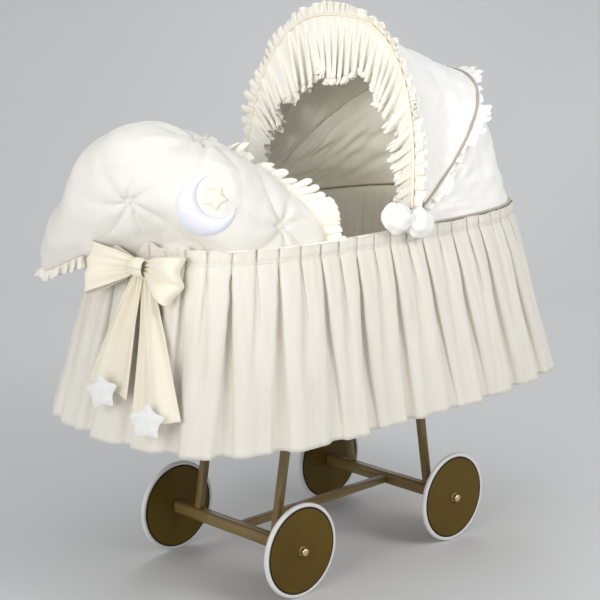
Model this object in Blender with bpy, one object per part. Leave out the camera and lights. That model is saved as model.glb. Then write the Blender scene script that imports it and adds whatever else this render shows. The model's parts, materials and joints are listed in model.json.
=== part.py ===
"""Bassinet on a wheeled wooden stand, with a folding two-hoop hood, a skirt, a quilt and a ribbon bow.

Metres, +Z up. The origin is on the floor under the middle of the bassinet, +X points to the head end
(the hood) and +Y to the bassinet's far side. Each moving piece has its origin, or its parent empty, on
the axis that it turns about.
"""
import math

import bmesh
import bpy
from mathutils import Matrix, Vector

# ---------------------------------------------------------------------------------------------------
# Driving dimensions
# ---------------------------------------------------------------------------------------------------
TOUCH_GAP = 0.0003         # left between two pieces that rest on or fit into each other
CUT_PAST = 0.001           # how far a cutting shape runs past the face that it opens
SHARP_ANGLE = 35.0         # degrees between two faces, from which their edge is shaded sharp

WHEEL_DIAMETER = 0.200
TYRE_DEPTH = 0.0083        # radial
TYRE_WIDTH = 0.010
TYRE_SHOULDER = 0.002
DISC_THICKNESS = 0.010
DISC_EDGE = 0.001
WHEEL_FACETS = 40
WHEELBASE = 0.476
TRACK = 0.387              # between the wheels' middle planes
WHEEL_END_GAP = 0.0015     # between a disc and the end of its beam

PIN_RADIUS = 0.004
PIN_RUNNING_GAP = 0.0003
PIN_IN_BEAM = 0.040
PIN_IN_NUT = 0.0068
PIN_FACETS = 16
WASHER_RADIUS = 0.0095
WASHER_THICKNESS = 0.0015
NUT_RADIUS = 0.0085
NUT_LENGTH = 0.012
NUT_DOME = 0.004

BEAM_SIDE = 0.028
BEAM_ROUNDING = 0.008
STRETCHER_SIDE = 0.018
BAR_ROUNDING = 0.003
LEG_SIDE = 0.018
LEG_SPACING = 0.238        # across the bassinet, centre to centre
LEG_LEAN = 0.058           # how far each leg's top stands in towards the middle
LEG_TOP = 0.455            # height of the legs' shoulders
TENON_RADIUS = 0.0055
TENON_LENGTH = 0.0075
TENON_FACETS = 16
MORTISE_END_GAP = 0.0005

SIDE_RAIL_HEIGHT = 0.025
SIDE_RAIL_OVERHANG = 0.026
CROSS_RAIL_SPACING = 0.300
CROSS_RAIL_WIDTH = 0.030
CROSS_RAIL_HEIGHT = 0.018
CROSS_RAIL_OVERHANG = 0.036

BOLT_RADIUS = 0.003
BOLT_HOLE_GAP = 0.0003
BOLT_HEAD_RADIUS = 0.0058
BOLT_HEAD_HEIGHT = 0.004
BOLT_SPACING = 0.160       # across the bassinet
BOLT_IN_BOARD = 0.0065

OVAL_POWER = 3.2           # squareness of the basket's plan: 2 is an ellipse
OVAL_POINTS = 48
RIM_LENGTH = 0.972         # outside the cane rim
RIM_WIDTH = 0.494
RIM_RADIUS = 0.008         # of the cane itself
RIM_HEIGHT = 0.7275        # of the cane's centre
RIM_SIDES = 8
BASKET_WALL = 0.005
BASKET_TAPER_LENGTH = 0.048  # at each end, from the rim to the bottom
BASKET_TAPER_WIDTH = 0.034   # on each side
BOARD_THICKNESS = 0.008
BOARD_GAP = 0.002
MATTRESS_THICKNESS = 0.040
MATTRESS_ROUNDING = 0.010
MATTRESS_GAP = 0.002
LINER_THICKNESS = 0.005
LINER_TO_BRACKET = 0.001   # between the lining's top and the hood brackets
LINER_ABOVE_RIM = 0.0025

SKIRT_THICKNESS = 0.004
SKIRT_ABOVE_RIM = 0.0045
SKIRT_DROP = 0.3685        # from its top edge to its hem
SKIRT_FLARE_END = 0.0935   # how much further out the hem stands, at each end
SKIRT_FLARE_SIDE = 0.0875

PIVOT_X = 0.030            # the hood's hinge axis, along Y
PIVOT_ABOVE_RIM = 0.0245   # above the cane's centre
HOOP_RADIUS = 0.004        # of the hoops' own round section
HOOP_SIDES = 6
HOOP_POINTS = 30
HOOP_POWER = 2.5
FRONT_HOOP_REACH = 0.400   # from the hinge axis to the top of the hoop
FRONT_HOOP_ANGLE = 85.0    # degrees above the horizontal, towards the head end
REAR_HOOP_REACH = 0.448
REAR_HOOP_ANGLE = 38.0
EYE_RADIUS = 0.009
EYE_FACETS = 24
EYE_GAP = 0.0005           # between one eye and the next along the pin
PIVOT_PIN_RADIUS = 0.003
PIVOT_PIN_HEAD = 0.007
PIVOT_HEAD_THICKNESS = 0.0025
BRACKET_THICKNESS = 0.0025
BRACKET_WIDTH = 0.022
BRACKET_TO_RIM = 0.001     # clear of the cane, and of the wicker at the bracket's lower end
BRACKET_BELOW_RIM = 0.0225  # its lower end, below the cane's centre
HOOD_CLOTH = 0.003
HOOD_CLOTH_GAP = 0.0025    # between a hoop and the cloth stretched over it
HOOD_CLOTH_FOOT = 0.055    # how far from the hinge axis the cloth starts
HOOD_HEM_ABOVE_SKIRT = 0.006
HOOD_HEM_START = 0.055     # share of the half turn round the head end that is left free beside a hinge
PANEL_TO_REAR_LINE = 0.01  # share of a panel's depth left between it and the next panel

QUILT_THICKNESS = 0.020
KNOT_Y = -0.028            # the bow's knot on the skirt's foot end
KNOT_DROP = 0.034          # its middle, below the skirt's top
BOW_LIFT = 0.002           # between the skirt and the ribbon
BOW_GAP = 0.001            # between one piece of the bow and the next
RIBBON_THICKNESS = 0.002
RIBBON_ACROSS = 4          # flat facets across a ribbon
LOOP_THICKNESS = 0.018
KNOT_SIZE = 0.030
LOOP_NECK = 0.018          # height of a loop where it leaves the knot
TAIL_NECK = 0.020          # width of a tail where it leaves the knot
TAIL_OFFSET = 0.012        # of a tail's middle from the knot's middle
STAR_RADIUS = 0.038
STAR_WAIST = 0.020
STAR_THICKNESS = 0.007
STAR_EDGE = ((0.0, 0.94), (0.5, 1.0), (1.0, 0.88))  # its rounded edge: shares of depth and of size
HOOD_BOW_LENGTH = 0.165
HOOD_BOW_HEIGHT = 0.060
HOOD_BOW_DEPTH = 0.048
HOOD_BOW_FORWARD = 0.050   # its middle stands this far towards the foot from the hinge
HOOD_BOW_DROOP = 0.27      # fall of its axis towards the head end, per unit of length
HOOD_BOW_GAP = 0.006         # between the pin's tip and the bow
HOOD_BOW_ABOVE_PIVOT = 0.015
HOOD_BOW_HALF_SHAPE = ((0.0, 0.30), (0.08, 0.72), (0.24, 1.0), (0.38, 0.70), (0.46, 0.34))
HOOD_BOW_SIDES = 12

# ---------------------------------------------------------------------------------------------------
# What follows from them
# ---------------------------------------------------------------------------------------------------
AXLE_HEIGHT = WHEEL_DIAMETER / 2
DISC_RADIUS = WHEEL_DIAMETER / 2 - TYRE_DEPTH
BEAM_LENGTH = TRACK - DISC_THICKNESS - 2 * WHEEL_END_GAP
LEG_FOOT = AXLE_HEIGHT + BEAM_SIDE / 2 + TOUCH_GAP
SIDE_RAIL_BOTTOM = LEG_TOP + TOUCH_GAP
CROSS_RAIL_BOTTOM = SIDE_RAIL_BOTTOM + SIDE_RAIL_HEIGHT + TOUCH_GAP
BASKET_BOTTOM = CROSS_RAIL_BOTTOM + CROSS_RAIL_HEIGHT + TOUCH_GAP
BASKET_TOP = RIM_HEIGHT - RIM_RADIUS - TOUCH_GAP
BOARD_BOTTOM = BASKET_BOTTOM + BASKET_WALL + TOUCH_GAP
LINER_BOTTOM = BOARD_BOTTOM + BOARD_THICKNESS + TOUCH_GAP
MATTRESS_TOP = LINER_BOTTOM + MATTRESS_THICKNESS
LINER_TOP = RIM_HEIGHT + RIM_RADIUS + LINER_ABOVE_RIM
SKIRT_TOP = RIM_HEIGHT + RIM_RADIUS + SKIRT_ABOVE_RIM
SKIRT_HEM = SKIRT_TOP - SKIRT_DROP
PIVOT_HEIGHT = RIM_HEIGHT + PIVOT_ABOVE_RIM
HINGE = (PIVOT_X, 0, PIVOT_HEIGHT)
RIM_INSIDE = RIM_WIDTH / 2 - 2 * RIM_RADIUS
BRACKET_LOW = RIM_HEIGHT - BRACKET_BELOW_RIM
WICKER_AT_BRACKET = (RIM_WIDTH / 2 - RIM_RADIUS - BASKET_WALL
                     - BASKET_TAPER_WIDTH * (BASKET_TOP - BRACKET_LOW) / (BASKET_TOP - BASKET_BOTTOM))
BRACKET_OUTSIDE = min(RIM_INSIDE, WICKER_AT_BRACKET) - BRACKET_TO_RIM
LINER_TO_RIM = RIM_INSIDE - BRACKET_OUTSIDE + BRACKET_THICKNESS + LINER_TO_BRACKET
EYE_THICKNESS = 2 * HOOP_RADIUS
REAR_EYE_INSIDE = BRACKET_OUTSIDE + EYE_GAP
FRONT_EYE_INSIDE = REAR_EYE_INSIDE + EYE_THICKNESS + EYE_GAP
PIVOT_PIN_END = FRONT_EYE_INSIDE + EYE_THICKNESS + EYE_GAP
PIVOT_PIN_TIP = PIVOT_PIN_END + PIVOT_HEAD_THICKNESS
REAR_HOOP_HALF = REAR_EYE_INSIDE + EYE_THICKNESS / 2
FRONT_HOOP_HALF = FRONT_EYE_INSIDE + EYE_THICKNESS / 2


# ---------------------------------------------------------------------------------------------------
# Materials
# ---------------------------------------------------------------------------------------------------
def material(name, colour, roughness, metallic=0.0):
    made = bpy.data.materials.new(name)
    made.use_nodes = True
    shader = made.node_tree.nodes["Principled BSDF"]
    shader.inputs["Base Color"].default_value = (*colour, 1.0)
    shader.inputs["Roughness"].default_value = roughness
    shader.inputs["Metallic"].default_value = metallic
    return made


def clear_scene():
    for old in list(bpy.data.objects):
        bpy.data.objects.remove(old, do_unlink=True)


clear_scene()
WOOD = material("varnished_wood", (0.30, 0.19, 0.07), 0.35)
PAINTED_WOOD = material("golden_brown_disc", (0.26, 0.17, 0.03), 0.40)
RUBBER = material("pale_rubber", (0.78, 0.78, 0.76), 0.60)
BRASS = material("brass", (0.75, 0.62, 0.33), 0.25, 1.0)
STEEL = material("zinc_plated_steel", (0.60, 0.60, 0.60), 0.35, 1.0)
WICKER = material("wicker", (0.55, 0.42, 0.25), 0.65)
COTTON = material("ivory_cotton", (0.84, 0.81, 0.73), 0.85)
WHITE_COTTON = material("white_cotton", (0.88, 0.87, 0.83), 0.85)
RIBBON = material("cream_ribbon", (0.84, 0.79, 0.66), 0.75)


# ---------------------------------------------------------------------------------------------------
# Making objects
# ---------------------------------------------------------------------------------------------------
def add(name, shape, finish, origin=(0, 0, 0), parent=None, smooth=True):
    """An object from a bmesh in world coordinates, with its origin at the given point."""
    bmesh.ops.recalc_face_normals(shape, faces=shape.faces)
    shape.transform(Matrix.Translation(-Vector(origin)))
    mesh = bpy.data.meshes.new(name)
    shape.to_mesh(mesh)
    shape.free()
    if smooth:
        mesh.shade_smooth()
        mesh.set_sharp_from_angle(angle=math.radians(SHARP_ANGLE))
    mesh.materials.append(finish)
    made = bpy.data.objects.new(name, mesh)
    bpy.context.scene.collection.objects.link(made)
    made.location = origin
    if parent:
        made.parent = parent
        made.location = Vector(origin) - parent.location
    return made


def axis_empty(name, place):
    made = bpy.data.objects.new(name, None)
    bpy.context.scene.collection.objects.link(made)
    made.location = place
    return made


def combine(target, tool_shape, operation):
    """Cuts a hidden shape out of an object, or joins it on, with a live Boolean."""
    tool = add(target.name + "_tool", tool_shape, target.data.materials[0], smooth=False)
    tool.hide_render = True
    tool.display_type = "WIRE"
    step = target.modifiers.new(operation.title(), "BOOLEAN")
    step.operation = operation
    step.object = tool


def lofted(rings, closed=False):
    """Joins rings of points with quads. The last ring joins the first, or both ends are filled."""
    shape = bmesh.new()
    rows = [[shape.verts.new(p) for p in ring] for ring in rings]
    count = len(rows[0])
    pairs = list(zip(rows, rows[1:])) + ([(rows[-1], rows[0])] if closed else [])
    for one, two in pairs:
        for i in range(count):
            j = (i + 1) % count
            shape.faces.new((one[i], one[j], two[j], two[i]))
    if not closed:
        shape.faces.new(rows[0][::-1])
        shape.faces.new(rows[-1])
    return shape


def box(low, high):
    shape = bmesh.new()
    size = Vector(high) - Vector(low)
    middle = (Vector(high) + Vector(low)) / 2
    bmesh.ops.create_cube(shape, size=1, matrix=Matrix.Translation(middle) @ Matrix.Diagonal((*size, 1)))
    return shape


def rounded_bar(low, high, rounding, segments=1):
    """A bar with its long edges rounded; the longest side gives the bar's direction."""
    shape = box(low, high)
    size = Vector(high) - Vector(low)
    along = max(range(3), key=lambda i: size[i])
    long_edges = [
        e for e in shape.edges
        if abs(e.verts[0].co[along] - e.verts[1].co[along]) > size[along] / 2
    ]
    bmesh.ops.bevel(shape, geom=long_edges, offset=rounding, segments=segments, profile=0.5,
                    affect="EDGES")
    return shape


def circle(centre, axis, radius, facets):
    """Points round an axis that runs along X, Y or Z, sized across the flats, a flat at the bottom."""
    corner = radius / math.cos(math.pi / facets)
    points = []
    for i in range(facets):
        angle = 2 * math.pi * (i + 0.5) / facets - math.pi / 2
        u, v = corner * math.cos(angle), corner * math.sin(angle)
        offset = {"X": (0, u, v), "Y": (u, 0, v), "Z": (u, v, 0)}[axis]
        points.append(Vector(centre) + Vector(offset))
    return points


def turned(centre, axis, profile, facets, bored=False):
    """A turned piece from its profile: (distance along the axis, radius) pairs."""
    step = Vector({"X": (1, 0, 0), "Y": (0, 1, 0), "Z": (0, 0, 1)}[axis])
    rings = [circle(Vector(centre) + step * along, axis, radius, facets) for along, radius in profile]
    return lofted(rings, closed=bored)


def oval(half_length, half_width, height):
    """The basket's plan at one height: a squarish oval."""
    points = []
    for i in range(OVAL_POINTS):
        angle = 2 * math.pi * i / OVAL_POINTS
        c, s = math.cos(angle), math.sin(angle)
        points.append((
            half_length * math.copysign(abs(c) ** (2 / OVAL_POWER), c),
            half_width * math.copysign(abs(s) ** (2 / OVAL_POWER), s),
            height,
        ))
    return points


def oval_wall(bottom, top, low, high, thickness):
    """An open-ended sleeve. bottom and top are outer (half length, half width) pairs."""
    return lofted([
        oval(*bottom, low),
        oval(*top, high),
        oval(top[0] - thickness, top[1] - thickness, high),
        oval(bottom[0] - thickness, bottom[1] - thickness, low),
    ], closed=True)


def basket_outside(height):
    """(half length, half width) of the wicker at a height."""
    share = (BASKET_TOP - height) / (BASKET_TOP - BASKET_BOTTOM)
    return (RIM_LENGTH / 2 - RIM_RADIUS - BASKET_TAPER_LENGTH * share,
            RIM_WIDTH / 2 - RIM_RADIUS - BASKET_TAPER_WIDTH * share)


def inset(pair, distance):
    return pair[0] - distance, pair[1] - distance


def surface(grid, thickness):
    """A closed sheet of even thickness about a grid of points."""
    shape = bmesh.new()
    rows = [[shape.verts.new(p) for p in row] for row in grid]
    for one, two in zip(rows, rows[1:]):
        for i in range(len(one) - 1):
            shape.faces.new((one[i], one[i + 1], two[i + 1], two[i]))
    bmesh.ops.recalc_face_normals(shape, faces=shape.faces)
    shape.normal_update()
    normals = {v: v.normal.copy() for v in shape.verts}
    inner = [[shape.verts.new(v.co - normals[v] * thickness / 2) for v in row] for row in rows]
    for row in rows:
        for v in row:
            v.co += normals[v] * thickness / 2
    for one, two in zip(inner, inner[1:]):
        for i in range(len(one) - 1):
            shape.faces.new((one[i], two[i], two[i + 1], one[i + 1]))
    outer_edge, inner_edge = border(rows), border(inner)
    for i in range(len(outer_edge)):
        j = (i + 1) % len(outer_edge)
        shape.faces.new((outer_edge[i], outer_edge[j], inner_edge[j], inner_edge[i]))
    return shape


def border(rows):
    """The grid's outer points in order."""
    return (rows[0] + [row[-1] for row in rows[1:-1]] + rows[-1][::-1]
            + [row[0] for row in rows[-2:0:-1]])


def through_points(points, count):
    """Evenly numbered points on a smooth curve through a few given ones."""
    knots = [Vector(p) for p in points]
    knots = [2 * knots[0] - knots[1]] + knots + [2 * knots[-1] - knots[-2]]
    spans = len(points) - 1
    made = []
    for i in range(count):
        place = spans * i / (count - 1)
        k = min(int(place), spans - 1)
        t = place - k
        a, b, c, d = knots[k:k + 4]
        made.append(0.5 * (2 * b + (c - a) * t + (2 * a - 5 * b + 4 * c - d) * t ** 2
                           + (3 * b - a - 3 * c + d) * t ** 3))
    return made


# ---------------------------------------------------------------------------------------------------
# Stand
# ---------------------------------------------------------------------------------------------------
ENDS = {"foot": -1, "head": 1}
SIDES = {"near": -1, "far": 1}


def axle_beam(end, x):
    half, side = BEAM_LENGTH / 2, BEAM_SIDE / 2
    beam = add(end + "_axle_beam",
               rounded_bar((x - side, -half, AXLE_HEIGHT - side), (x + side, half, AXLE_HEIGHT + side),
                           BEAM_ROUNDING, segments=3), WOOD)
    for sign in SIDES.values():
        pin_hole = sorted((sign * (half + CUT_PAST), sign * (half - PIN_IN_BEAM - MORTISE_END_GAP)))
        combine(beam, turned((x, 0, AXLE_HEIGHT), "Y", [(y, PIN_RADIUS + TOUCH_GAP) for y in pin_hole],
                             PIN_FACETS), "DIFFERENCE")
        top = AXLE_HEIGHT + side
        mortise = (top - TENON_LENGTH - MORTISE_END_GAP, top + CUT_PAST)
        combine(beam, turned((x, sign * LEG_SPACING / 2, 0), "Z",
                             [(z, TENON_RADIUS + TOUCH_GAP) for z in mortise], TENON_FACETS), "DIFFERENCE")
    inward = -ENDS[end]
    face = x + inward * side
    socket = sorted((face + inward * CUT_PAST, face - inward * (TENON_LENGTH + MORTISE_END_GAP)))
    combine(beam, turned((0, 0, AXLE_HEIGHT), "X", [(p, TENON_RADIUS + TOUCH_GAP) for p in socket],
                         TENON_FACETS), "DIFFERENCE")


def stretcher():
    half = WHEELBASE / 2 - BEAM_SIDE / 2 - TOUCH_GAP
    side = STRETCHER_SIDE / 2
    bar = add("stretcher", rounded_bar((-half, -side, AXLE_HEIGHT - side), (half, side, AXLE_HEIGHT + side),
                                       BAR_ROUNDING), WOOD)
    reach = half + TENON_LENGTH
    combine(bar, turned((0, 0, AXLE_HEIGHT), "X", [(-reach, TENON_RADIUS), (reach, TENON_RADIUS)],
                        TENON_FACETS), "UNION")


def leg(end, side, x, y):
    """A square bar that leans to the middle, its shoulders level, with a round tenon at each end."""
    half = LEG_SIDE / 2
    top_x = x - ENDS[end] * LEG_LEAN
    corners = [(-half, -half), (half, -half), (half, half), (-half, half)]
    shape = lofted([[(cx + u, y + v, z) for u, v in corners]
                    for cx, z in ((x, LEG_FOOT), (top_x, LEG_TOP))])
    upright = [e for e in shape.edges if abs(e.verts[0].co.z - e.verts[1].co.z) > LEG_SIDE]
    bmesh.ops.bevel(shape, geom=upright, offset=BAR_ROUNDING, segments=1, affect="EDGES")
    piece = add(f"{end}_{side}_leg", shape, WOOD)
    for cx, shoulder, outward in ((x, LEG_FOOT, -1), (top_x, LEG_TOP, 1)):
        span = sorted((shoulder + outward * TENON_LENGTH, shoulder - outward * TENON_RADIUS))
        combine(piece, turned((cx, y, 0), "Z", [(z, TENON_RADIUS) for z in span], TENON_FACETS), "UNION")


def side_rail(side, y):
    half = WHEELBASE / 2 - LEG_LEAN + SIDE_RAIL_OVERHANG
    top = SIDE_RAIL_BOTTOM + SIDE_RAIL_HEIGHT
    rail = add(side + "_side_rail",
               rounded_bar((-half, y - LEG_SIDE / 2, SIDE_RAIL_BOTTOM), (half, y + LEG_SIDE / 2, top),
                           BAR_ROUNDING), WOOD)
    mortise = (SIDE_RAIL_BOTTOM - CUT_PAST, SIDE_RAIL_BOTTOM + TENON_LENGTH + MORTISE_END_GAP)
    for sign in ENDS.values():
        x = sign * (WHEELBASE / 2 - LEG_LEAN)
        combine(rail, turned((x, y, 0), "Z", [(z, TENON_RADIUS + TOUCH_GAP) for z in mortise],
                             TENON_FACETS), "DIFFERENCE")


def cross_rail(end, x):
    half = LEG_SPACING / 2 + CROSS_RAIL_OVERHANG
    width = CROSS_RAIL_WIDTH / 2
    rail = add(end + "_cross_rail",
               rounded_bar((x - width, -half, CROSS_RAIL_BOTTOM),
                           (x + width, half, CROSS_RAIL_BOTTOM + CROSS_RAIL_HEIGHT), BAR_ROUNDING), WOOD)
    for sign in SIDES.values():
        combine(rail, bolt_hole(x, sign * BOLT_SPACING / 2, CROSS_RAIL_BOTTOM - CUT_PAST,
                                CROSS_RAIL_BOTTOM + CROSS_RAIL_HEIGHT + CUT_PAST), "DIFFERENCE")


def bolt_hole(x, y, low, high):
    return turned((x, y, 0), "Z", [(z, BOLT_RADIUS + BOLT_HOLE_GAP) for z in (low, high)], PIN_FACETS)


def basket_bolt(name, x, y):
    """A hexagon-headed screw from under the cross rail up into the base board."""
    seat = CROSS_RAIL_BOTTOM - TOUCH_GAP
    screw = add(name, turned((x, y, 0), "Z", [(seat - BOLT_HEAD_HEIGHT, BOLT_HEAD_RADIUS),
                                              (seat, BOLT_HEAD_RADIUS)], 6), STEEL)
    combine(screw, turned((x, y, 0), "Z", [(seat - BOLT_HEAD_HEIGHT / 2, BOLT_RADIUS),
                                           (BOARD_BOTTOM + BOLT_IN_BOARD, BOLT_RADIUS)], PIN_FACETS), "UNION")


def wheel(end, side, x):
    """A wooden disc and its tyre turn on a pin; the pin, washer and cap nut stay with the beam."""
    sign = SIDES[side]
    name = f"{end}_{side}_"
    centre = Vector((x, sign * TRACK / 2, AXLE_HEIGHT))
    hub = axis_empty(name + "wheel_axis", centre)
    half = DISC_THICKNESS / 2
    bore = PIN_RADIUS + PIN_RUNNING_GAP
    add(name + "wheel_disc", turned(centre, "Y", [
        (-half, bore), (-half, DISC_RADIUS - DISC_EDGE), (-half + DISC_EDGE, DISC_RADIUS),
        (half - DISC_EDGE, DISC_RADIUS), (half, DISC_RADIUS - DISC_EDGE), (half, bore),
    ], WHEEL_FACETS, bored=True), PAINTED_WOOD, centre, hub)
    width, outer = TYRE_WIDTH / 2, WHEEL_DIAMETER / 2
    add(name + "tyre", turned(centre, "Y", [
        (-width, DISC_RADIUS + TOUCH_GAP), (-width, outer - TYRE_SHOULDER), (-width + TYRE_SHOULDER, outer),
        (width - TYRE_SHOULDER, outer), (width, outer - TYRE_SHOULDER), (width, DISC_RADIUS + TOUCH_GAP),
    ], WHEEL_FACETS, bored=True), RUBBER, centre, hub)

    face = TRACK / 2 + half
    washer = (face + TOUCH_GAP, face + TOUCH_GAP + WASHER_THICKNESS)
    add(name + "hub_washer", turned((x, 0, AXLE_HEIGHT), "Y", [
        (sign * washer[0], bore), (sign * washer[0], WASHER_RADIUS),
        (sign * washer[1], WASHER_RADIUS), (sign * washer[1], bore),
    ], PIN_FACETS, bored=True), STEEL)
    seat = washer[1] + TOUCH_GAP
    pin = (BEAM_LENGTH / 2 - PIN_IN_BEAM, seat + PIN_IN_NUT)
    add(name + "axle_pin", turned((x, 0, AXLE_HEIGHT), "Y", [
        (sign * y, PIN_RADIUS / math.cos(math.pi / PIN_FACETS) - TOUCH_GAP / 2) for y in pin
    ], PIN_FACETS), STEEL)
    shoulder = seat + NUT_LENGTH - NUT_DOME
    dome = [(sign * (shoulder + NUT_DOME * math.sin(a)), NUT_RADIUS * math.cos(a))
            for a in map(math.radians, (0, 42, 75))]
    add(name + "cap_nut", turned((x, 0, AXLE_HEIGHT), "Y", [
        (sign * (seat + PIN_IN_NUT + MORTISE_END_GAP), bore), (sign * seat, bore), (sign * seat, NUT_RADIUS),
        *dome,
    ], PIN_FACETS), BRASS)


for end_name, end_sign in ENDS.items():
    beam_x = end_sign * WHEELBASE / 2
    axle_beam(end_name, beam_x)
    cross_rail(end_name, end_sign * CROSS_RAIL_SPACING / 2)
    for side_name, side_sign in SIDES.items():
        leg(end_name, side_name, beam_x, side_sign * LEG_SPACING / 2)
        wheel(end_name, side_name, beam_x)
        basket_bolt(f"{end_name}_{side_name}_basket_bolt",
                    end_sign * CROSS_RAIL_SPACING / 2, side_sign * BOLT_SPACING / 2)
stretcher()
for side_name, side_sign in SIDES.items():
    side_rail(side_name, side_sign * LEG_SPACING / 2)


# ---------------------------------------------------------------------------------------------------
# Basket and its cloth
# ---------------------------------------------------------------------------------------------------
def basket_shell():
    floor = BASKET_BOTTOM + BASKET_WALL
    shell = add("basket_shell", lofted([
        oval(*inset(basket_outside(floor), BASKET_WALL), floor),
        oval(*inset(basket_outside(BASKET_TOP), BASKET_WALL), BASKET_TOP),
        oval(*basket_outside(BASKET_TOP), BASKET_TOP),
        oval(*basket_outside(BASKET_BOTTOM), BASKET_BOTTOM),
    ]), WICKER)
    for sign_x in ENDS.values():
        for sign_y in SIDES.values():
            combine(shell, bolt_hole(sign_x * CROSS_RAIL_SPACING / 2, sign_y * BOLT_SPACING / 2,
                                     BASKET_BOTTOM - CUT_PAST, floor + CUT_PAST), "DIFFERENCE")


def basket_rim():
    """The cane that finishes the basket's top edge."""
    half_length = RIM_LENGTH / 2 - RIM_RADIUS
    half_width = RIM_WIDTH / 2 - RIM_RADIUS
    rings = []
    for i in range(RIM_SIDES):
        angle = 2 * math.pi * (i + 0.5) / RIM_SIDES
        out = RIM_RADIUS * math.cos(angle)
        rings.append(oval(half_length + out, half_width + out, RIM_HEIGHT + RIM_RADIUS * math.sin(angle)))
    add("basket_rim", lofted(rings, closed=True), WICKER)


def base_board():
    size = inset(basket_outside(BOARD_BOTTOM), BASKET_WALL + BOARD_GAP)
    faces = (BOARD_BOTTOM, BOARD_BOTTOM + BOARD_THICKNESS)
    board = add("base_board", lofted([oval(*size, z) for z in faces]), WOOD)
    for sign_x in ENDS.values():
        for sign_y in SIDES.values():
            combine(board, bolt_hole(sign_x * CROSS_RAIL_SPACING / 2, sign_y * BOLT_SPACING / 2,
                                     BOARD_BOTTOM - CUT_PAST, BOARD_BOTTOM + BOLT_IN_BOARD + MORTISE_END_GAP),
                    "DIFFERENCE")


def liner_outside(height):
    """The padded lining stands just inside the wicker, and clear of the hinge brackets at the top."""
    low = inset(basket_outside(LINER_BOTTOM), BASKET_WALL + TOUCH_GAP + BOARD_GAP / 2)
    high = (RIM_LENGTH / 2 - 2 * RIM_RADIUS - LINER_TO_RIM, RIM_INSIDE - LINER_TO_RIM)
    share = (height - LINER_BOTTOM) / (LINER_TOP - LINER_BOTTOM)
    return tuple(a + (b - a) * share for a, b in zip(low, high))


def liner():
    add("liner", oval_wall(liner_outside(LINER_BOTTOM), liner_outside(LINER_TOP), LINER_BOTTOM, LINER_TOP,
                           LINER_THICKNESS), COTTON)


def mattress():
    size = inset(liner_outside(LINER_BOTTOM), LINER_THICKNESS + MATTRESS_GAP)
    edge = inset(size, MATTRESS_ROUNDING)
    add("mattress", lofted([
        oval(*edge, LINER_BOTTOM), oval(*size, LINER_BOTTOM + MATTRESS_ROUNDING),
        oval(*size, MATTRESS_TOP - MATTRESS_ROUNDING), oval(*edge, MATTRESS_TOP),
    ]), WHITE_COTTON)


def skirt_outside(height):
    """(half length, half width) of the skirt's outer face at a height."""
    share = (SKIRT_TOP - height) / SKIRT_DROP
    collar = TOUCH_GAP + SKIRT_THICKNESS
    return (RIM_LENGTH / 2 + collar + SKIRT_FLARE_END * share,
            RIM_WIDTH / 2 + collar + SKIRT_FLARE_SIDE * share)


def skirt():
    add("skirt", oval_wall(skirt_outside(SKIRT_HEM), skirt_outside(SKIRT_TOP), SKIRT_HEM, SKIRT_TOP,
                           SKIRT_THICKNESS), COTTON)


# The quilt's ribs run from its foot edge up over the bulge to its open mouth. The near edge is tucked in
# behind the rim and the far foot corner hangs out over it. Each point is its distance in from the rim's
# foot end, its share of the rim's half width, and its height above the rim.
QUILT_RIBS = (
    ((0.056, -0.49, 0.030), (0.061, -0.65, 0.048), (0.101, -0.74, 0.050), (0.166, -0.80, 0.045),
     (0.236, -0.83, 0.038), (0.296, -0.83, 0.030)),
    ((0.024, -0.30, 0.035), (0.010, -0.45, 0.100), (0.046, -0.55, 0.140), (0.106, -0.64, 0.135),
     (0.176, -0.70, 0.115), (0.261, -0.75, 0.085)),
    ((-0.029, 0.00, 0.035), (-0.049, -0.14, 0.115), (-0.019, -0.22, 0.185), (0.046, -0.34, 0.200),
     (0.116, -0.43, 0.185), (0.211, -0.49, 0.145)),
    ((-0.064, 0.24, 0.010), (-0.076, 0.14, 0.110), (-0.049, 0.06, 0.200), (0.011, 0.02, 0.230),
     (0.081, 0.00, 0.225), (0.166, 0.00, 0.190)),
    ((-0.082, 0.51, -0.020), (-0.086, 0.43, 0.080), (-0.056, 0.38, 0.165), (0.011, 0.38, 0.200),
     (0.091, 0.43, 0.190), (0.186, 0.47, 0.155)),
    ((-0.086, 0.77, -0.045), (-0.070, 0.73, 0.030), (-0.019, 0.71, 0.090), (0.056, 0.71, 0.125),
     (0.136, 0.72, 0.120), (0.246, 0.74, 0.095)),
    ((-0.044, 0.92, -0.020), (-0.014, 0.91, 0.030), (0.046, 0.87, 0.045), (0.116, 0.85, 0.045),
     (0.196, 0.83, 0.038), (0.296, 0.83, 0.030)),
)
QUILT_ALONG = 12
QUILT_ACROSS = 16


def quilt():
    ribs = [
        through_points([(inward - RIM_LENGTH / 2, across * RIM_WIDTH / 2, RIM_HEIGHT + up)
                        for inward, across, up in rib], QUILT_ALONG)
        for rib in QUILT_RIBS
    ]
    rows = [through_points([rib[i] for rib in ribs], QUILT_ACROSS) for i in range(QUILT_ALONG)]
    add("quilt", surface(rows, QUILT_THICKNESS), COTTON)


basket_shell()
basket_rim()
base_board()
liner()
mattress()
skirt()
quilt()


# ---------------------------------------------------------------------------------------------------
# Hood
# ---------------------------------------------------------------------------------------------------
def arch_point(share, reach, half_width, angle):
    """A point on a hoop: share 0 is its near foot, 1 its far foot. The plane leans by angle (degrees)."""
    turn = math.pi * share
    across = math.copysign(abs(math.cos(turn)) ** (2 / HOOP_POWER), -math.cos(turn))
    out = reach * abs(math.sin(turn)) ** (2 / HOOP_POWER)
    lean = math.radians(angle)
    return Vector((PIVOT_X + out * math.cos(lean), half_width * across, PIVOT_HEIGHT + out * math.sin(lean)))


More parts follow.
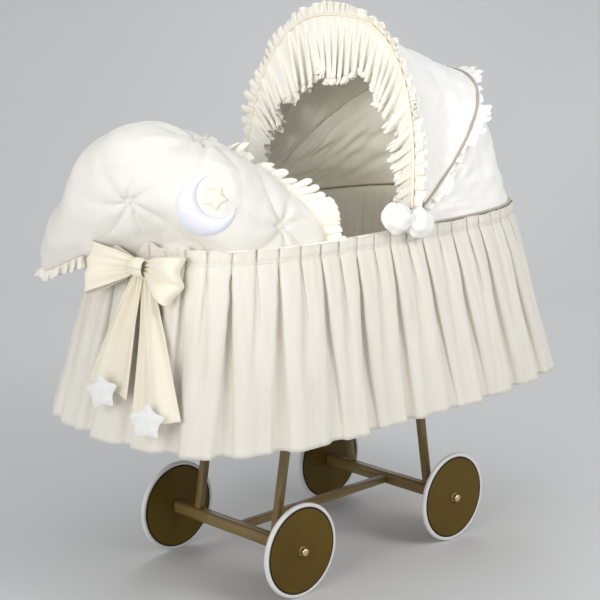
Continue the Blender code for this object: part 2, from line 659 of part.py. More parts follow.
def hoop(name, reach, half_width, angle, eye_inside):
    """A bent round rod with a flat eye at each foot, bored for the hinge pin."""
    lean = math.radians(angle)
    plane_normal = Vector((-math.sin(lean), 0, math.cos(lean)))
    line = [arch_point(i / HOOP_POINTS, reach, half_width, angle) for i in range(HOOP_POINTS + 1)]
    rings = []
    for i, point in enumerate(line):
        along = (line[min(i + 1, HOOP_POINTS)] - line[max(i - 1, 0)]).normalized()
        outward = along.cross(plane_normal).normalized()
        rings.append([
            point + HOOP_RADIUS * (math.cos(a) * outward + math.sin(a) * plane_normal)
            for a in (2 * math.pi * k / HOOP_SIDES for k in range(HOOP_SIDES))
        ])
    rod = add(name, lofted(rings), STEEL, HINGE)
    for sign in SIDES.values():
        span = sorted((sign * eye_inside, sign * (eye_inside + EYE_THICKNESS)))
        combine(rod, turned(HINGE, "Y", [(y, EYE_RADIUS) for y in span], EYE_FACETS), "UNION")
    for sign in SIDES.values():
        span = sorted((sign * (eye_inside - CUT_PAST), sign * (eye_inside + EYE_THICKNESS + CUT_PAST)))
        combine(rod, turned(HINGE, "Y", [(y, PIVOT_PIN_RADIUS + PIN_RUNNING_GAP) for y in span], PIN_FACETS),
                "DIFFERENCE")


def hood_bracket(side):
    """An upright plate on the inside of the rim that carries the hinge pin."""
    sign = SIDES[side]
    faces = sorted((sign * BRACKET_OUTSIDE, sign * (BRACKET_OUTSIDE - BRACKET_THICKNESS)))
    half = BRACKET_WIDTH / 2
    plate = add(side + "_hood_bracket",
                box((PIVOT_X - half, faces[0], BRACKET_LOW),
                    (PIVOT_X + half, faces[1], PIVOT_HEIGHT + EYE_RADIUS)), STEEL)
    combine(plate, turned(HINGE, "Y",
                          [(faces[0] - CUT_PAST, PIVOT_PIN_RADIUS + TOUCH_GAP),
                           (faces[1] + CUT_PAST, PIVOT_PIN_RADIUS + TOUCH_GAP)], PIN_FACETS), "DIFFERENCE")


def hood_pivot_pin(side):
    sign = SIDES[side]
    inner = BRACKET_OUTSIDE - BRACKET_THICKNESS - TOUCH_GAP
    corner = math.cos(math.pi / PIN_FACETS)
    add(side + "_hood_pivot_pin", turned(HINGE, "Y", [
        (sign * (inner - PIVOT_HEAD_THICKNESS), PIVOT_PIN_HEAD * 0.8), (sign * inner, PIVOT_PIN_HEAD),
        (sign * inner, PIVOT_PIN_RADIUS * corner), (sign * PIVOT_PIN_END, PIVOT_PIN_RADIUS * corner),
        (sign * PIVOT_PIN_END, PIVOT_PIN_HEAD),
        (sign * PIVOT_PIN_TIP, PIVOT_PIN_HEAD * 0.6),
    ], PIN_FACETS), BRASS)


CLOTH_OFFSET = HOOP_RADIUS + HOOD_CLOTH_GAP + HOOD_CLOTH / 2
PANEL_ACROSS = 24
PANEL_ALONG = 3


def arch_over(reach, half_width, angle):
    """The line that the cloth follows over a hoop, between its two feet."""
    reach, half_width = reach + CLOTH_OFFSET, half_width + CLOTH_OFFSET
    foot = math.asin((HOOD_CLOTH_FOOT / reach) ** (HOOP_POWER / 2)) / math.pi
    return [arch_point(foot + (1 - 2 * foot) * i / PANEL_ACROSS, reach, half_width, angle)
            for i in range(PANEL_ACROSS + 1)]


def rim_line():
    """Where the hood's hem lies on the skirt, from the near side round the head end to the far side."""
    half_length, half_width = skirt_outside(SKIRT_TOP)
    inset_hem = SKIRT_THICKNESS / 2
    line = []
    for i in range(PANEL_ACROSS + 1):
        share = HOOD_HEM_START + (1 - 2 * HOOD_HEM_START) * i / PANEL_ACROSS
        turn = math.pi * (share - 0.5)
        c, s = math.cos(turn), math.sin(turn)
        line.append(Vector((
            (half_length - inset_hem) * abs(c) ** (2 / OVAL_POWER),
            (half_width - inset_hem) * math.copysign(abs(s) ** (2 / OVAL_POWER), s),
            SKIRT_TOP + HOOD_HEM_ABOVE_SKIRT,
        )))
    return line


def hood_panel(name, start, stop, low_share, high_share, origin=(0, 0, 0)):
    """Cloth stretched between two lines."""
    grid = []
    for i in range(PANEL_ALONG + 1):
        share = low_share + (high_share - low_share) * i / PANEL_ALONG
        grid.append([a.lerp(b, share) for a, b in zip(start, stop)])
    add(name, surface(grid, HOOD_CLOTH), WHITE_COTTON, origin)


hoop("hood_front_hoop", FRONT_HOOP_REACH, FRONT_HOOP_HALF, FRONT_HOOP_ANGLE, FRONT_EYE_INSIDE)
hoop("hood_rear_hoop", REAR_HOOP_REACH, REAR_HOOP_HALF, REAR_HOOP_ANGLE, REAR_EYE_INSIDE)
front_line = arch_over(FRONT_HOOP_REACH, FRONT_HOOP_HALF, FRONT_HOOP_ANGLE)
rear_line = arch_over(REAR_HOOP_REACH, REAR_HOOP_HALF, REAR_HOOP_ANGLE)
hood_panel("hood_front_panel", front_line, rear_line, 0.0, 1 - PANEL_TO_REAR_LINE, HINGE)
hood_panel("hood_rear_panel", rear_line, rim_line(), PANEL_TO_REAR_LINE, 1.0)
for side_name in SIDES:
    hood_bracket(side_name)
    hood_pivot_pin(side_name)


# ---------------------------------------------------------------------------------------------------
# Ribbon bow on the foot end, its stars, and the small bows at the hood's hinges
# ---------------------------------------------------------------------------------------------------
def on_skirt(y, z, lift):
    """A point at a lift off the skirt's foot end."""
    half_length, half_width = skirt_outside(z)
    share = min(abs(y) / half_width, 0.98)
    x = -half_length * (1 - share ** OVAL_POWER) ** (1 / OVAL_POWER)
    share_x = abs(x) / half_length
    facing = Vector((
        -share_x ** (OVAL_POWER - 1) / half_length,
        math.copysign(share ** (OVAL_POWER - 1), y) / half_width,
        (share_x ** OVAL_POWER * SKIRT_FLARE_END / half_length
         + share ** OVAL_POWER * SKIRT_FLARE_SIDE / half_width) / SKIRT_DROP,
    )).normalized()
    return Vector((x, y, z)) + facing * lift


def ribbon(name, stations, lift, thickness):
    """A strip laid on the skirt. Each station gives the strip's two edge points as (y, z) pairs."""
    rings = []
    for one, two in stations:
        line = [Vector(one).lerp(Vector(two), i / RIBBON_ACROSS) for i in range(RIBBON_ACROSS + 1)]
        rings.append([on_skirt(*point, lift) for point in line]
                     + [on_skirt(*point, lift + thickness) for point in reversed(line)])
    add(name, lofted(rings), RIBBON)


KNOT_HEIGHT = SKIRT_TOP - KNOT_DROP


def loop(name, sign, reach, low, high):
    """One of the bow's loops: narrow at the knot; low and high give its outer end from the knot's middle."""
    start = KNOT_Y + sign * (KNOT_SIZE / 2 + BOW_GAP)
    neck = LOOP_NECK / 2
    stations = []
    for share in (0.0, 0.35, 0.7, 1.0):
        y = start + (KNOT_Y + sign * reach - start) * share
        stations.append(((y, KNOT_HEIGHT - neck + (low + neck) * share),
                         (y, KNOT_HEIGHT + neck + (high - neck) * share)))
    ribbon(name, stations, BOW_LIFT, LOOP_THICKNESS)


def tail(name, side, low_edge, high_edge, lift):
    """A ribbon end hanging from under the knot. Its two cut corners are (y, drop from the skirt's top)."""
    top = KNOT_HEIGHT - KNOT_SIZE / 2 - BOW_GAP
    neck_y = KNOT_Y + side * TAIL_OFFSET
    stations = []
    for share in (0.0, 0.33, 0.66, 1.0):
        edges = []
        for neck, (y, drop) in ((neck_y - TAIL_NECK / 2, low_edge), (neck_y + TAIL_NECK / 2, high_edge)):
            edges.append((neck + (y - neck) * share, top + (SKIRT_TOP - drop - top) * share))
        stations.append(tuple(edges))
    ribbon(name, stations, lift, RIBBON_THICKNESS)


def star(name, y, drop, lift):
    """A padded five-pointed star sewn on the end of a tail."""
    centre = on_skirt(y, SKIRT_TOP - drop, lift)
    facing = (on_skirt(y, SKIRT_TOP - drop, lift + 1) - centre).normalized()
    across = Vector((0, 0, 1)).cross(facing).normalized()
    up = facing.cross(across)
    points = [(math.pi * k / 5, STAR_WAIST if k % 2 else STAR_RADIUS) for k in range(10)]
    add(name, lofted([
        [centre + facing * depth * STAR_THICKNESS
         + size * radius * (math.sin(turn) * across + math.cos(turn) * up) for turn, radius in points]
        for depth, size in STAR_EDGE
    ]), WHITE_COTTON)


def hood_bow(side):
    """A small stuffed bow over each hinge: two round lobes pinched at the middle."""
    depth = HOOD_BOW_DEPTH / 2
    middle = Vector((PIVOT_X - HOOD_BOW_FORWARD, SIDES[side] * (PIVOT_PIN_TIP + HOOD_BOW_GAP + depth),
                     PIVOT_HEIGHT + HOOD_BOW_ABOVE_PIVOT))
    along = Vector((1, 0, -HOOD_BOW_DROOP)).normalized()
    up = Vector((HOOD_BOW_DROOP, 0, 1)).normalized()
    other_half = tuple((1 - share, size) for share, size in reversed(HOOD_BOW_HALF_SHAPE))
    rings = []
    for share, size in HOOD_BOW_HALF_SHAPE + other_half:
        centre = middle + along * (share - 0.5) * HOOD_BOW_LENGTH
        rings.append([
            centre + up * (size * HOOD_BOW_HEIGHT / 2 * math.sin(a))
            + Vector((0, size * depth * math.cos(a), 0))
            for a in (2 * math.pi * k / HOOD_BOW_SIDES for k in range(HOOD_BOW_SIDES))
        ])
    add(side + "_hood_bow", lofted(rings), WHITE_COTTON)


def knot():
    centre = on_skirt(KNOT_Y, KNOT_HEIGHT, KNOT_SIZE / 2 + 2 * BOW_LIFT)
    shape = bmesh.new()
    bmesh.ops.create_cube(shape, size=KNOT_SIZE, matrix=Matrix.Translation(centre))
    bmesh.ops.bevel(shape, geom=shape.edges[:], offset=KNOT_SIZE / 4, segments=2, profile=0.5,
                    affect="EDGES")
    add("bow_knot", shape, RIBBON)


loop("bow_left_loop", 1, 0.136, -0.051, 0.032)
loop("bow_right_loop", -1, 0.100, -0.034, 0.042)
knot()
SECOND_LIFT = BOW_LIFT + RIBBON_THICKNESS + BOW_GAP
tail("bow_left_tail", 1, (-0.058, 0.274), (0.070, 0.266), BOW_LIFT)
tail("bow_right_tail", -1, (-0.168, 0.303), (-0.085, 0.323), SECOND_LIFT)
star("left_star", -0.002, 0.270, SECOND_LIFT)
star("right_star", -0.128, 0.300, SECOND_LIFT + RIBBON_THICKNESS + BOW_GAP)
for side_name in SIDES:
    hood_bow(side_name)
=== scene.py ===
# %% [markdown]
# # A bassinet on a wheeled stand
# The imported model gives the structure: a wooden stand on four wheels, a wicker basket, two steel
# hoops and plain solids where the cloth is. This lesson puts the real surfaces round it. Cloth is a
# thin sheet with folds, so it is made from grids of points. Wood and metal are shaped with Blender's
# own edit-mode tools, and the mattress is swollen by a short cloth simulation.

# %% Load the frame
import json
import math
import random

import bmesh
import bpy
import numpy as np
from mathutils import Matrix, Vector, noise
from mathutils.bvhtree import BVHTree

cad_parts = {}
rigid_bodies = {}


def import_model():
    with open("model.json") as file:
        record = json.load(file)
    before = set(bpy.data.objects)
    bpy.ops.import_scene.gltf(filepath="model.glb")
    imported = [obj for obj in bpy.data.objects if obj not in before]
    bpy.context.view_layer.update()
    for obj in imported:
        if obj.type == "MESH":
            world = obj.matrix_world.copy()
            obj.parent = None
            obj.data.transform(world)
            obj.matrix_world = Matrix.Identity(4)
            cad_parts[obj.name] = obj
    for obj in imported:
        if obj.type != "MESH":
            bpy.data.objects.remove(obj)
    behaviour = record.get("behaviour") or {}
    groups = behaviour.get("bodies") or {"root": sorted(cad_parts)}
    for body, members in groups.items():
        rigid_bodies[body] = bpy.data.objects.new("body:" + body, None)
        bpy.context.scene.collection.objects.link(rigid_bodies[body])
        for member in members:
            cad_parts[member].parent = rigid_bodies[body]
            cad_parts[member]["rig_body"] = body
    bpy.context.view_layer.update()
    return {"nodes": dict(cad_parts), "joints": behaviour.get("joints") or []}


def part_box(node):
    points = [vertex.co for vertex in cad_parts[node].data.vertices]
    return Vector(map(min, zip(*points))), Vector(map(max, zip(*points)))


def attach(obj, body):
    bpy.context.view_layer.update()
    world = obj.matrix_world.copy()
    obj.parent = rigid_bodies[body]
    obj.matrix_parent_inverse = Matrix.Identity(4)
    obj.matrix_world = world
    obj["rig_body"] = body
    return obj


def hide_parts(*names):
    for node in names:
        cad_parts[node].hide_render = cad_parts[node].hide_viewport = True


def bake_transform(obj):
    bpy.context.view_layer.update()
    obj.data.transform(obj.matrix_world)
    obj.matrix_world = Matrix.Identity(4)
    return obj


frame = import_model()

# %% [markdown]
# ## Places read from the frame
# Nothing here is fitted by eye: the rim, the skirt and the hinge axis are read from the packed
# model, and every sheet of cloth is then laid out from them. The basket's plan is a squarish oval, a
# superellipse, and the two hoops are arches of the same family that lean about one hinge axis.

# %% Sizes of the basket, the skirt and the hood
joints = {joint["name"]: joint for joint in frame["joints"]}


def frame_body(node):
    """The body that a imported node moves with."""
    return frame["nodes"][node]["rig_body"]


def corners_of(node):
    """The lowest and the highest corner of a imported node."""
    low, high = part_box(node)
    return Vector(low), Vector(high)


def run_along(points):
    """The length run so far at each point of a line."""
    steps = np.linalg.norm(np.diff(np.array(points, float), axis=0), axis=1)
    return np.concatenate([[0], np.cumsum(steps)])


HINGE = Vector(joints["hood_rear_fold"]["pos_m"])
OVAL_POWER = 3.2
HOOP_POWER = 2.5
ROD = 0.004                       # radius of the steel hoops
HOOP_LEAN = {"front": math.radians(85), "rear": math.radians(38)}
rim_low, rim_high = corners_of("basket_rim")
skirt_low, skirt_high = corners_of("skirt")
RIM = Vector((rim_high.x, rim_high.y))
HEM = Vector((skirt_high.x, skirt_high.y))
SKIRT_TOP, SKIRT_HEM = skirt_high.z, skirt_low.z
HOOP = {}
for hoop in ("front", "rear"):
    low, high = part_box(f"hood_{hoop}_hoop")
    reach = (high[2] - HINGE.z - ROD * math.cos(HOOP_LEAN[hoop])) / math.sin(HOOP_LEAN[hoop])
    HOOP[hoop] = (reach, high[1] - ROD)
print("rim", RIM, "hem", HEM, "hoops", HOOP)


# %% The oval and the arch
def oval(turn, half, z):
    """A point of the basket's plan: half is (half length, half width)."""
    c, s = math.cos(turn), math.sin(turn)
    return Vector((half[0] * math.copysign(abs(c) ** (2 / OVAL_POWER), c),
                   half[1] * math.copysign(abs(s) ** (2 / OVAL_POWER), s), z))


def oval_out(point, half):
    """The level direction that points straight out of the oval at one of its points."""
    slope = [math.copysign((abs(p) / h) ** (OVAL_POWER - 1) / h, p)
             for p, h in zip(point[:2], half)]
    return Vector((*slope, 0)).normalized()


def even_turns(half, count):
    """Turns spaced evenly along the oval's edge, however sharp its corners, and the edge's length."""
    fine = np.linspace(0, 2 * math.pi, 4001)
    run = run_along([oval(turn, half, 0) for turn in fine])
    return np.interp(np.linspace(0, run[-1], count), run, fine), run[-1]


def ahead_of(hoop):
    """The direction that a hoop's plane faces, away from the basket's head end."""
    return Vector((-math.sin(HOOP_LEAN[hoop]), 0, math.cos(HOOP_LEAN[hoop])))


def arch(share, hoop, out=0.0, ahead=0.0):
    """A point of a hoop, share 0 at its near foot and 1 at its far one, moved out and ahead."""
    reach, half = HOOP[hoop]
    reach, half, lean = reach + out, half + out, HOOP_LEAN[hoop]
    turn = math.pi * share
    across = math.copysign(abs(math.cos(turn)) ** (2 / HOOP_POWER), -math.cos(turn))
    rise = reach * abs(math.sin(turn)) ** (2 / HOOP_POWER)
    place = Vector((rise * math.cos(lean), half * across, rise * math.sin(lean)))
    return HINGE + place + ahead_of(hoop) * ahead


def even_shares(hoop, count, foot):
    """Shares spaced evenly along a hoop, from a height above the hinge on one side to the other."""
    first = math.asin((foot / HOOP[hoop][0]) ** (HOOP_POWER / 2)) / math.pi
    fine = [first + (1 - 2 * first) * i / 2000 for i in range(2001)]
    run = run_along([arch(share, hoop) for share in fine])
    return np.interp(np.linspace(0, run[-1], count), run, fine), run[-1]


# %% [markdown]
# ## Shader arithmetic
# A finish is mostly arithmetic on patterns: a weave times a mask, plus some mottling. One small
# class lets Python's own operators write that arithmetic as Math nodes, so a material reads as a
# formula.

# %% A socket that Python can calculate with
class Value:
    def __init__(self, shop, socket):
        self.shop, self.socket = shop, socket

    def using(self, operation, *others):
        return self.shop.node("ShaderNodeMath", {"operation": operation}, dict(enumerate(others)))

    def __add__(self, other):
        return self.using("ADD", self, other)

    def __sub__(self, other):
        return self.using("SUBTRACT", self, other)

    def __rsub__(self, other):
        return self.using("SUBTRACT", other, self)

    def __mul__(self, other):
        return self.using("MULTIPLY", self, other)

    def clamped(self):
        return self.using("MINIMUM", self.using("MAXIMUM", self, 0.0), 1.0)

    __radd__ = __add__
    __rmul__ = __mul__


class Shop:
    """Builds one material. node() makes any shader node from its settings and sockets' values."""

    def __init__(self, name):
        self.material = bpy.data.materials.new(name)
        self.material.use_nodes = True
        self.tree = self.material.node_tree
        self.shader = self.tree.nodes["Principled BSDF"]

    def node(self, kind, settings=None, sockets=None, out=0):
        made = self.tree.nodes.new(kind)
        for key, value in (settings or {}).items():
            setattr(made, key, value)
        for key, value in (sockets or {}).items():
            self.feed(made.inputs[key], value)
        return Value(self, made.outputs[out])

    def feed(self, socket, value):
        if isinstance(value, Value):
            self.tree.links.new(value.socket, socket)
        else:
            socket.default_value = value

    def set(self, **sockets):
        for key, value in sockets.items():
            self.feed(self.shader.inputs[key.replace("_", " ")], value)

    def place(self, scale=(1, 1, 1), source="Object"):
        coordinates = self.tree.nodes.new("ShaderNodeTexCoord")
        return self.node("ShaderNodeMapping", {}, {
            "Vector": Value(self, coordinates.outputs[source]), "Scale": scale})

    def noise(self, where, scale, detail=2.0, roughness=0.5, distortion=0.0):
        return self.node("ShaderNodeTexNoise", {}, {
            "Vector": where, "Scale": scale, "Detail": detail, "Roughness": roughness,
            "Distortion": distortion})

    def wave(self, where, scale, direction="X", distortion=0.0):
        return self.node("ShaderNodeTexWave", {"bands_direction": direction}, {
            "Vector": where, "Scale": scale, "Distortion": distortion, "Detail": 1.0,
            "Detail Scale": 2.0}, out=1)

    def blend(self, mask, one, two):
        made = self.tree.nodes.new("ShaderNodeMix")
        made.data_type = "RGBA"
        for name, value in (("Factor_Float", mask), ("A_Color", one), ("B_Color", two)):
            socket = next(s for s in made.inputs if s.identifier == name)
            self.feed(socket, (*value, 1.0) if isinstance(value, tuple) else value)
        return Value(self, next(s for s in made.outputs if s.identifier == "Result_Color"))

    def bump(self, height, distance, strength=1.0, after=None):
        sockets = {"Height": height, "Distance": distance, "Strength": strength}
        if after:
            sockets["Normal"] = after
        return self.node("ShaderNodeBump", {}, sockets)


# %% [markdown]
# ## Cotton
# All the cloth is plain-woven cotton in ivory, white or cream. Threads about half a millimetre wide
# cross each other, thicker slubs run through them for a few centimetres, and handling leaves soft
# crumples. The threads are read from each sheet's own UV map, which is laid out in metres, so the
# weave bends with the cloth, and a little sheen stands for the fluff that catches light.

# %% Cotton finishes
WEAVE = 290.0                     # how fine the threads' waves are


def cotton(name, light, shade, crumple=0.0011, slub=0.5, sheen=0.25, source="UV"):
    shop = Shop(name)
    weave = shop.place(source=source)
    room = shop.place()
    warp = shop.wave(weave, WEAVE, "X", 1.2)
    weft = shop.wave(weave, WEAVE, "Y", 1.2)
    long_slubs = shop.noise(shop.place((900, 28, 28), source), 1.0, 2.0)
    cross_slubs = shop.noise(shop.place((28, 900, 900), source), 1.0, 2.0)
    mottle = shop.noise(room, 9.0, 3.0, 0.55)
    creases = shop.noise(room, 34.0, 4.0, 0.6, 0.7)
    threads = (warp + weft) * 0.5
    slubs = (long_slubs + cross_slubs) * 0.5
    tone = ((mottle - 0.5) * 0.9 + (slubs - 0.5) * 1.6 * slub + 0.45).clamped()
    shop.set(Base_Color=shop.blend(tone, shade, light),
             Roughness=(slubs - 0.5) * 0.2 + 0.88,
             Sheen_Weight=sheen, Sheen_Roughness=0.45, Specular_IOR_Level=0.25)
    fine = shop.bump(threads * 0.6 + slubs, 0.00035, 0.55)
    shop.set(Normal=shop.bump(creases, crumple, 0.7, fine))
    return shop.material


IVORY = cotton("ivory_cotton", (0.79, 0.757, 0.685), (0.72, 0.682, 0.597))
FRILL = cotton("frill_cotton", (0.90, 0.875, 0.80), (0.84, 0.80, 0.70), crumple=0.0006)
WHITE = cotton("white_cotton", (0.93, 0.92, 0.89), (0.885, 0.87, 0.825), sheen=0.3)
CREAM = cotton("cream_cotton", (0.89, 0.835, 0.715), (0.79, 0.72, 0.57), crumple=0.0008)
TAUPE = cotton("taupe_cotton", (0.50, 0.45, 0.39), (0.40, 0.35, 0.29), crumple=0.0003)
LINING = cotton("lining_cotton", (0.95, 0.915, 0.82), (0.90, 0.86, 0.75), crumple=0.0018)
WHITE_PAD = cotton("white_padding", (0.93, 0.92, 0.89), (0.885, 0.87, 0.825), sheen=0.3,
                   source="Object")
QUILTING = cotton("quilted_cotton", (0.785, 0.765, 0.715), (0.705, 0.68, 0.62), crumple=0.0024,
                  source="Object")
PLUSH = cotton("plush_cotton", (0.80, 0.795, 0.775), (0.74, 0.735, 0.71), crumple=0.0014,
               source="Object")
PATCH = cotton("patch_felt", (0.76, 0.765, 0.835), (0.71, 0.72, 0.80), crumple=0.0004, slub=0.2)
print("cotton finishes ready")

# %% [markdown]
# ## Wood, rubber, brass and steel
# The stand is beech with a golden brown varnish. Grain is noise drawn out along the bar, so each
# direction of bar has its own finish, and the varnish is a thin coat that is glossier than the
# wood. The wheel discs are painted plywood with a fine mottle. Their outer edge, where the disc
# meets the tyre, is darkened with painted shade, which is drawn from an attribute that holds each
# point's distance from the hub.

# %% Hard finishes
GRAIN_DIRECTIONS = {"X": (1.6, 26, 26), "Y": (26, 1.6, 26), "Z": (26, 26, 1.6)}


def wood(name, along):
    shop = Shop(name)
    stretched = shop.place(GRAIN_DIRECTIONS[along])
    figure = shop.noise(stretched, 2.2, 5.0, 0.62, 0.6)
    pores = shop.noise(shop.place([8 * s for s in GRAIN_DIRECTIONS[along]]), 3.0, 2.0)
    rub = shop.noise(shop.place(), 14.0, 2.0)
    tone = (figure * 1.5 - 0.25).clamped()
    shop.set(Base_Color=shop.blend(tone, (0.095, 0.060, 0.015), (0.265, 0.178, 0.058)),
             Roughness=rub * 0.18 + 0.30, Coat_Weight=rub * 0.3 + 0.2)
    shop.set(Normal=shop.bump(pores * 0.6 + figure, 0.0004, 0.45))
    return shop.material


def disc_paint():
    shop = Shop("disc_paint")
    room = shop.place()
    mottle = shop.noise(room, 70.0, 4.0, 0.65)
    cloud = shop.noise(room, 9.0, 2.0)
    radius = shop.node("ShaderNodeAttribute", {"attribute_name": "from_hub"}, out=2)
    # painted shade: the outer ring of the face, next to the tyre, darkens to near black
    edge = ((radius - 0.955) * 60.0).clamped()
    tone = ((mottle - 0.5) * 0.8 + cloud).clamped()
    face = shop.blend(tone, (0.070, 0.042, 0.0015), (0.125, 0.077, 0.005))
    shop.set(Base_Color=shop.blend(edge, face, (0.02, 0.011, 0.003)),
             Roughness=mottle * 0.2 + 0.40, Specular_IOR_Level=0.22)
    shop.set(Normal=shop.bump(mottle, 0.0002, 0.4))
    return shop.material


def rubber():
    shop = Shop("pale_rubber")
    grain = shop.noise(shop.place(), 240.0, 2.0)
    scuffs = shop.noise(shop.place(), 26.0, 3.0)
    shop.set(Base_Color=shop.blend(scuffs, (0.62, 0.62, 0.60), (0.80, 0.80, 0.78)),
             Roughness=grain * 0.15 + 0.55)
    shop.set(Normal=shop.bump(grain, 0.0002, 0.5))
    return shop.material


def metal(name, light, dark, roughness):
    shop = Shop(name)
    brushed = shop.noise(shop.place((30, 30, 300)), 4.0, 3.0)
    tarnish = shop.noise(shop.place(), 60.0, 3.0)
    shop.set(Base_Color=shop.blend(tarnish, dark, light), Metallic=1.0,
             Roughness=brushed * 0.15 + roughness)
    shop.set(Normal=shop.bump(brushed, 0.00008, 0.5))
    return shop.material


def cane():
    shop = Shop("cane")
    fibres = shop.noise(shop.place((20, 20, 260)), 3.0, 3.0, 0.6)
    knots = shop.noise(shop.place(), 22.0, 2.0)
    shop.set(Base_Color=shop.blend((fibres * 0.7 + knots * 0.3).clamped(), (0.36, 0.24, 0.11),
                                   (0.66, 0.50, 0.29)),
             Roughness=fibres * 0.2 + 0.45)
    shop.set(Normal=shop.bump(fibres, 0.0004, 0.5))
    return shop.material


WOOD = {along: wood("varnished_wood_" + along.lower(), along) for along in "XYZ"}
DISC, RUBBER, CANE = disc_paint(), rubber(), cane()
BRASS = metal("brass", (0.86, 0.70, 0.40), (0.62, 0.46, 0.22), 0.16)
STEEL = metal("zinc_steel", (0.66, 0.66, 0.66), (0.42, 0.42, 0.42), 0.30)
print("hard finishes ready")

# %% [markdown]
# ## Making a sheet of cloth
# Cloth hardly stretches, so a believable sheet is one whose points are laid out in rows and then
# pushed into folds. One helper turns rows of points into a mesh with a UV map in metres and gives it
# a thin wall, so that it is a closed piece with two sides and a turned edge.

# %% Sheets, ruffles and cords of cloth
def loose_start():
    """Leaves edit mode with nothing selected."""
    if bpy.context.object and bpy.context.object.mode != "OBJECT":
        bpy.ops.object.mode_set(mode="OBJECT")
    bpy.ops.object.select_all(action="DESELECT")


def take(piece):
    """Selects one piece and nothing else."""
    loose_start()
    piece.select_set(True)
    bpy.context.view_layer.objects.active = piece
    return piece


def edit_all():
    """Enters edit mode with everything selected."""
    bpy.ops.object.mode_set(mode="EDIT")
    bpy.ops.mesh.select_all(action="SELECT")


def face_outwards(piece):
    take(piece)
    edit_all()
    bpy.ops.mesh.normals_make_consistent(inside=False)
    bpy.ops.object.mode_set(mode="OBJECT")
    return piece


def shown(name, mesh, material):
    """A smooth-shaded piece from a finished mesh."""
    mesh.polygons.foreach_set("use_smooth", [True] * len(mesh.polygons))
    mesh.materials.append(material)
    piece = bpy.data.objects.new(name, mesh)
    bpy.context.collection.objects.link(piece)
    return take(piece)


def from_points(name, points, faces, material, places=None):
    """A piece from points and faces, with each corner's place on the cloth where it is known."""
    mesh = bpy.data.meshes.new(name)
    mesh.from_pydata(np.array(points, float).reshape(-1, 3).tolist(), [], faces)
    if places:
        uv_map = mesh.uv_layers.new(name="cloth")
        uv_map.data.foreach_set("uv", np.array(places, np.float32).ravel())
    return shown(name, mesh, material)


def cloth(name, rows, material, thick=0.0016, ring=False):
    """A sheet from rows of points; a ring's last column joins its first."""
    rows = np.array(rows, float)
    count, wide = rows.shape[:2]
    middle = rows[count // 2]
    if ring:
        middle = np.vstack([middle, middle[:1]])
    along = run_along(middle)
    down = np.concatenate([[0], np.cumsum(
        np.median(np.linalg.norm(np.diff(rows, axis=0), axis=2), axis=1))])
    faces, places = [], []
    for i in range(count - 1):
        for j in range(wide if ring else wide - 1):
            k = (j + 1) % wide
            faces.append((i * wide + j, i * wide + k, (i + 1) * wide + k, (i + 1) * wide + j))
            places += [(along[j], down[i]), (along[j + 1], down[i]),
                       (along[j + 1], down[i + 1]), (along[j], down[i + 1])]
    piece = from_points(name, rows, faces, material, places)
    wall = piece.modifiers.new("wall", "SOLIDIFY")
    wall.thickness, wall.offset = thick, 0.0
    bpy.ops.object.modifier_apply(modifier="wall")
    return piece


def points_of(piece):
    flat = np.empty(len(piece.data.vertices) * 3)
    piece.data.vertices.foreach_get("co", flat)
    return flat.reshape(-1, 3)


def smooth_steps(points, count):
    """Evenly spaced points on a smooth curve through a few given ones."""
    points = [Vector(p) for p in points]
    knots = [2 * points[0] - points[1], *points, 2 * points[-1] - points[-2]]
    spans, fine, parts = len(knots) - 3, [], 24
    for i in range(spans * parts + 1):
        k = min(i // parts, spans - 1)
        t = i / parts - k
        a, b, c, d = knots[k:k + 4]
        fine.append(0.5 * (2 * b + (c - a) * t + (2 * a - 5 * b + 4 * c - d) * t ** 2
                           + (3 * b - a - 3 * c + d) * t ** 3))
    run = run_along(fine)
    wanted = np.linspace(0, run[-1], count)
    return np.stack([np.interp(wanted, run, [p[i] for p in fine]) for i in range(3)], axis=1)


def wander(seed, values):
    """A smooth wandering number between about -1 and 1, the same in every run."""
    return np.array([noise.noise(Vector((v, seed * 7.31, seed * 1.7))) * 1.8 for v in values])


def ruffle(name, line, reach, lift, material, pitch, height, seed, rows=8, loose=1.0):
    """A gathered strip sewn along a line. reach and lift hold, for each point of the line, the way
    the strip stands off it and the way its folds rise, and reach's length is the strip's width
    there. Its folds are uneven: their spacing, height and lean all wander along the strip."""
    line, reach, lift = (np.array(v, float) for v in (line, reach, lift))
    run = run_along(line)
    step = np.gradient(run)
    phase = np.cumsum(step * (1 + 0.5 * wander(seed, run / pitch * 0.31)) / pitch)
    size = 0.8 + 0.65 * wander(seed + 3, run / pitch * 0.43)
    lean = (0.55 * wander(seed + 13, run / pitch * 0.27)
            + 0.35 * wander(seed + 17, run / pitch * 0.8)) * loose
    width = np.linalg.norm(reach, axis=1)
    tangent = np.gradient(line, axis=0)
    tangent /= np.linalg.norm(tangent, axis=1)[:, None]
    built = []
    for i in range(rows):
        t = i / (rows - 1)
        swell = (t ** 0.75 + (1 - t) * 0.16) * height * size
        turn = 2 * np.pi * (phase + 0.16 * t * wander(seed + 9, run / pitch * 0.4))
        fold = np.sin(turn) + 0.34 * np.sin(2 * turn + 2 * wander(seed + 5, run / pitch * 0.2))
        side = pitch * t * (0.25 * wander(seed + 21, run / pitch * 0.5) - 0.17 * np.sin(2 * turn))
        wide = t * (1 + (0.16 * wander(seed + 7, run / pitch * 0.55) - 0.02 * np.cos(2 * turn)) * t)
        built.append(line + reach * (wide * np.cos(lean * t))[:, None]
                     + lift * (swell * fold + width * np.sin(lean * t) * wide)[:, None]
                     + tangent * side[:, None])
    return cloth(name, built, material, 0.0012)


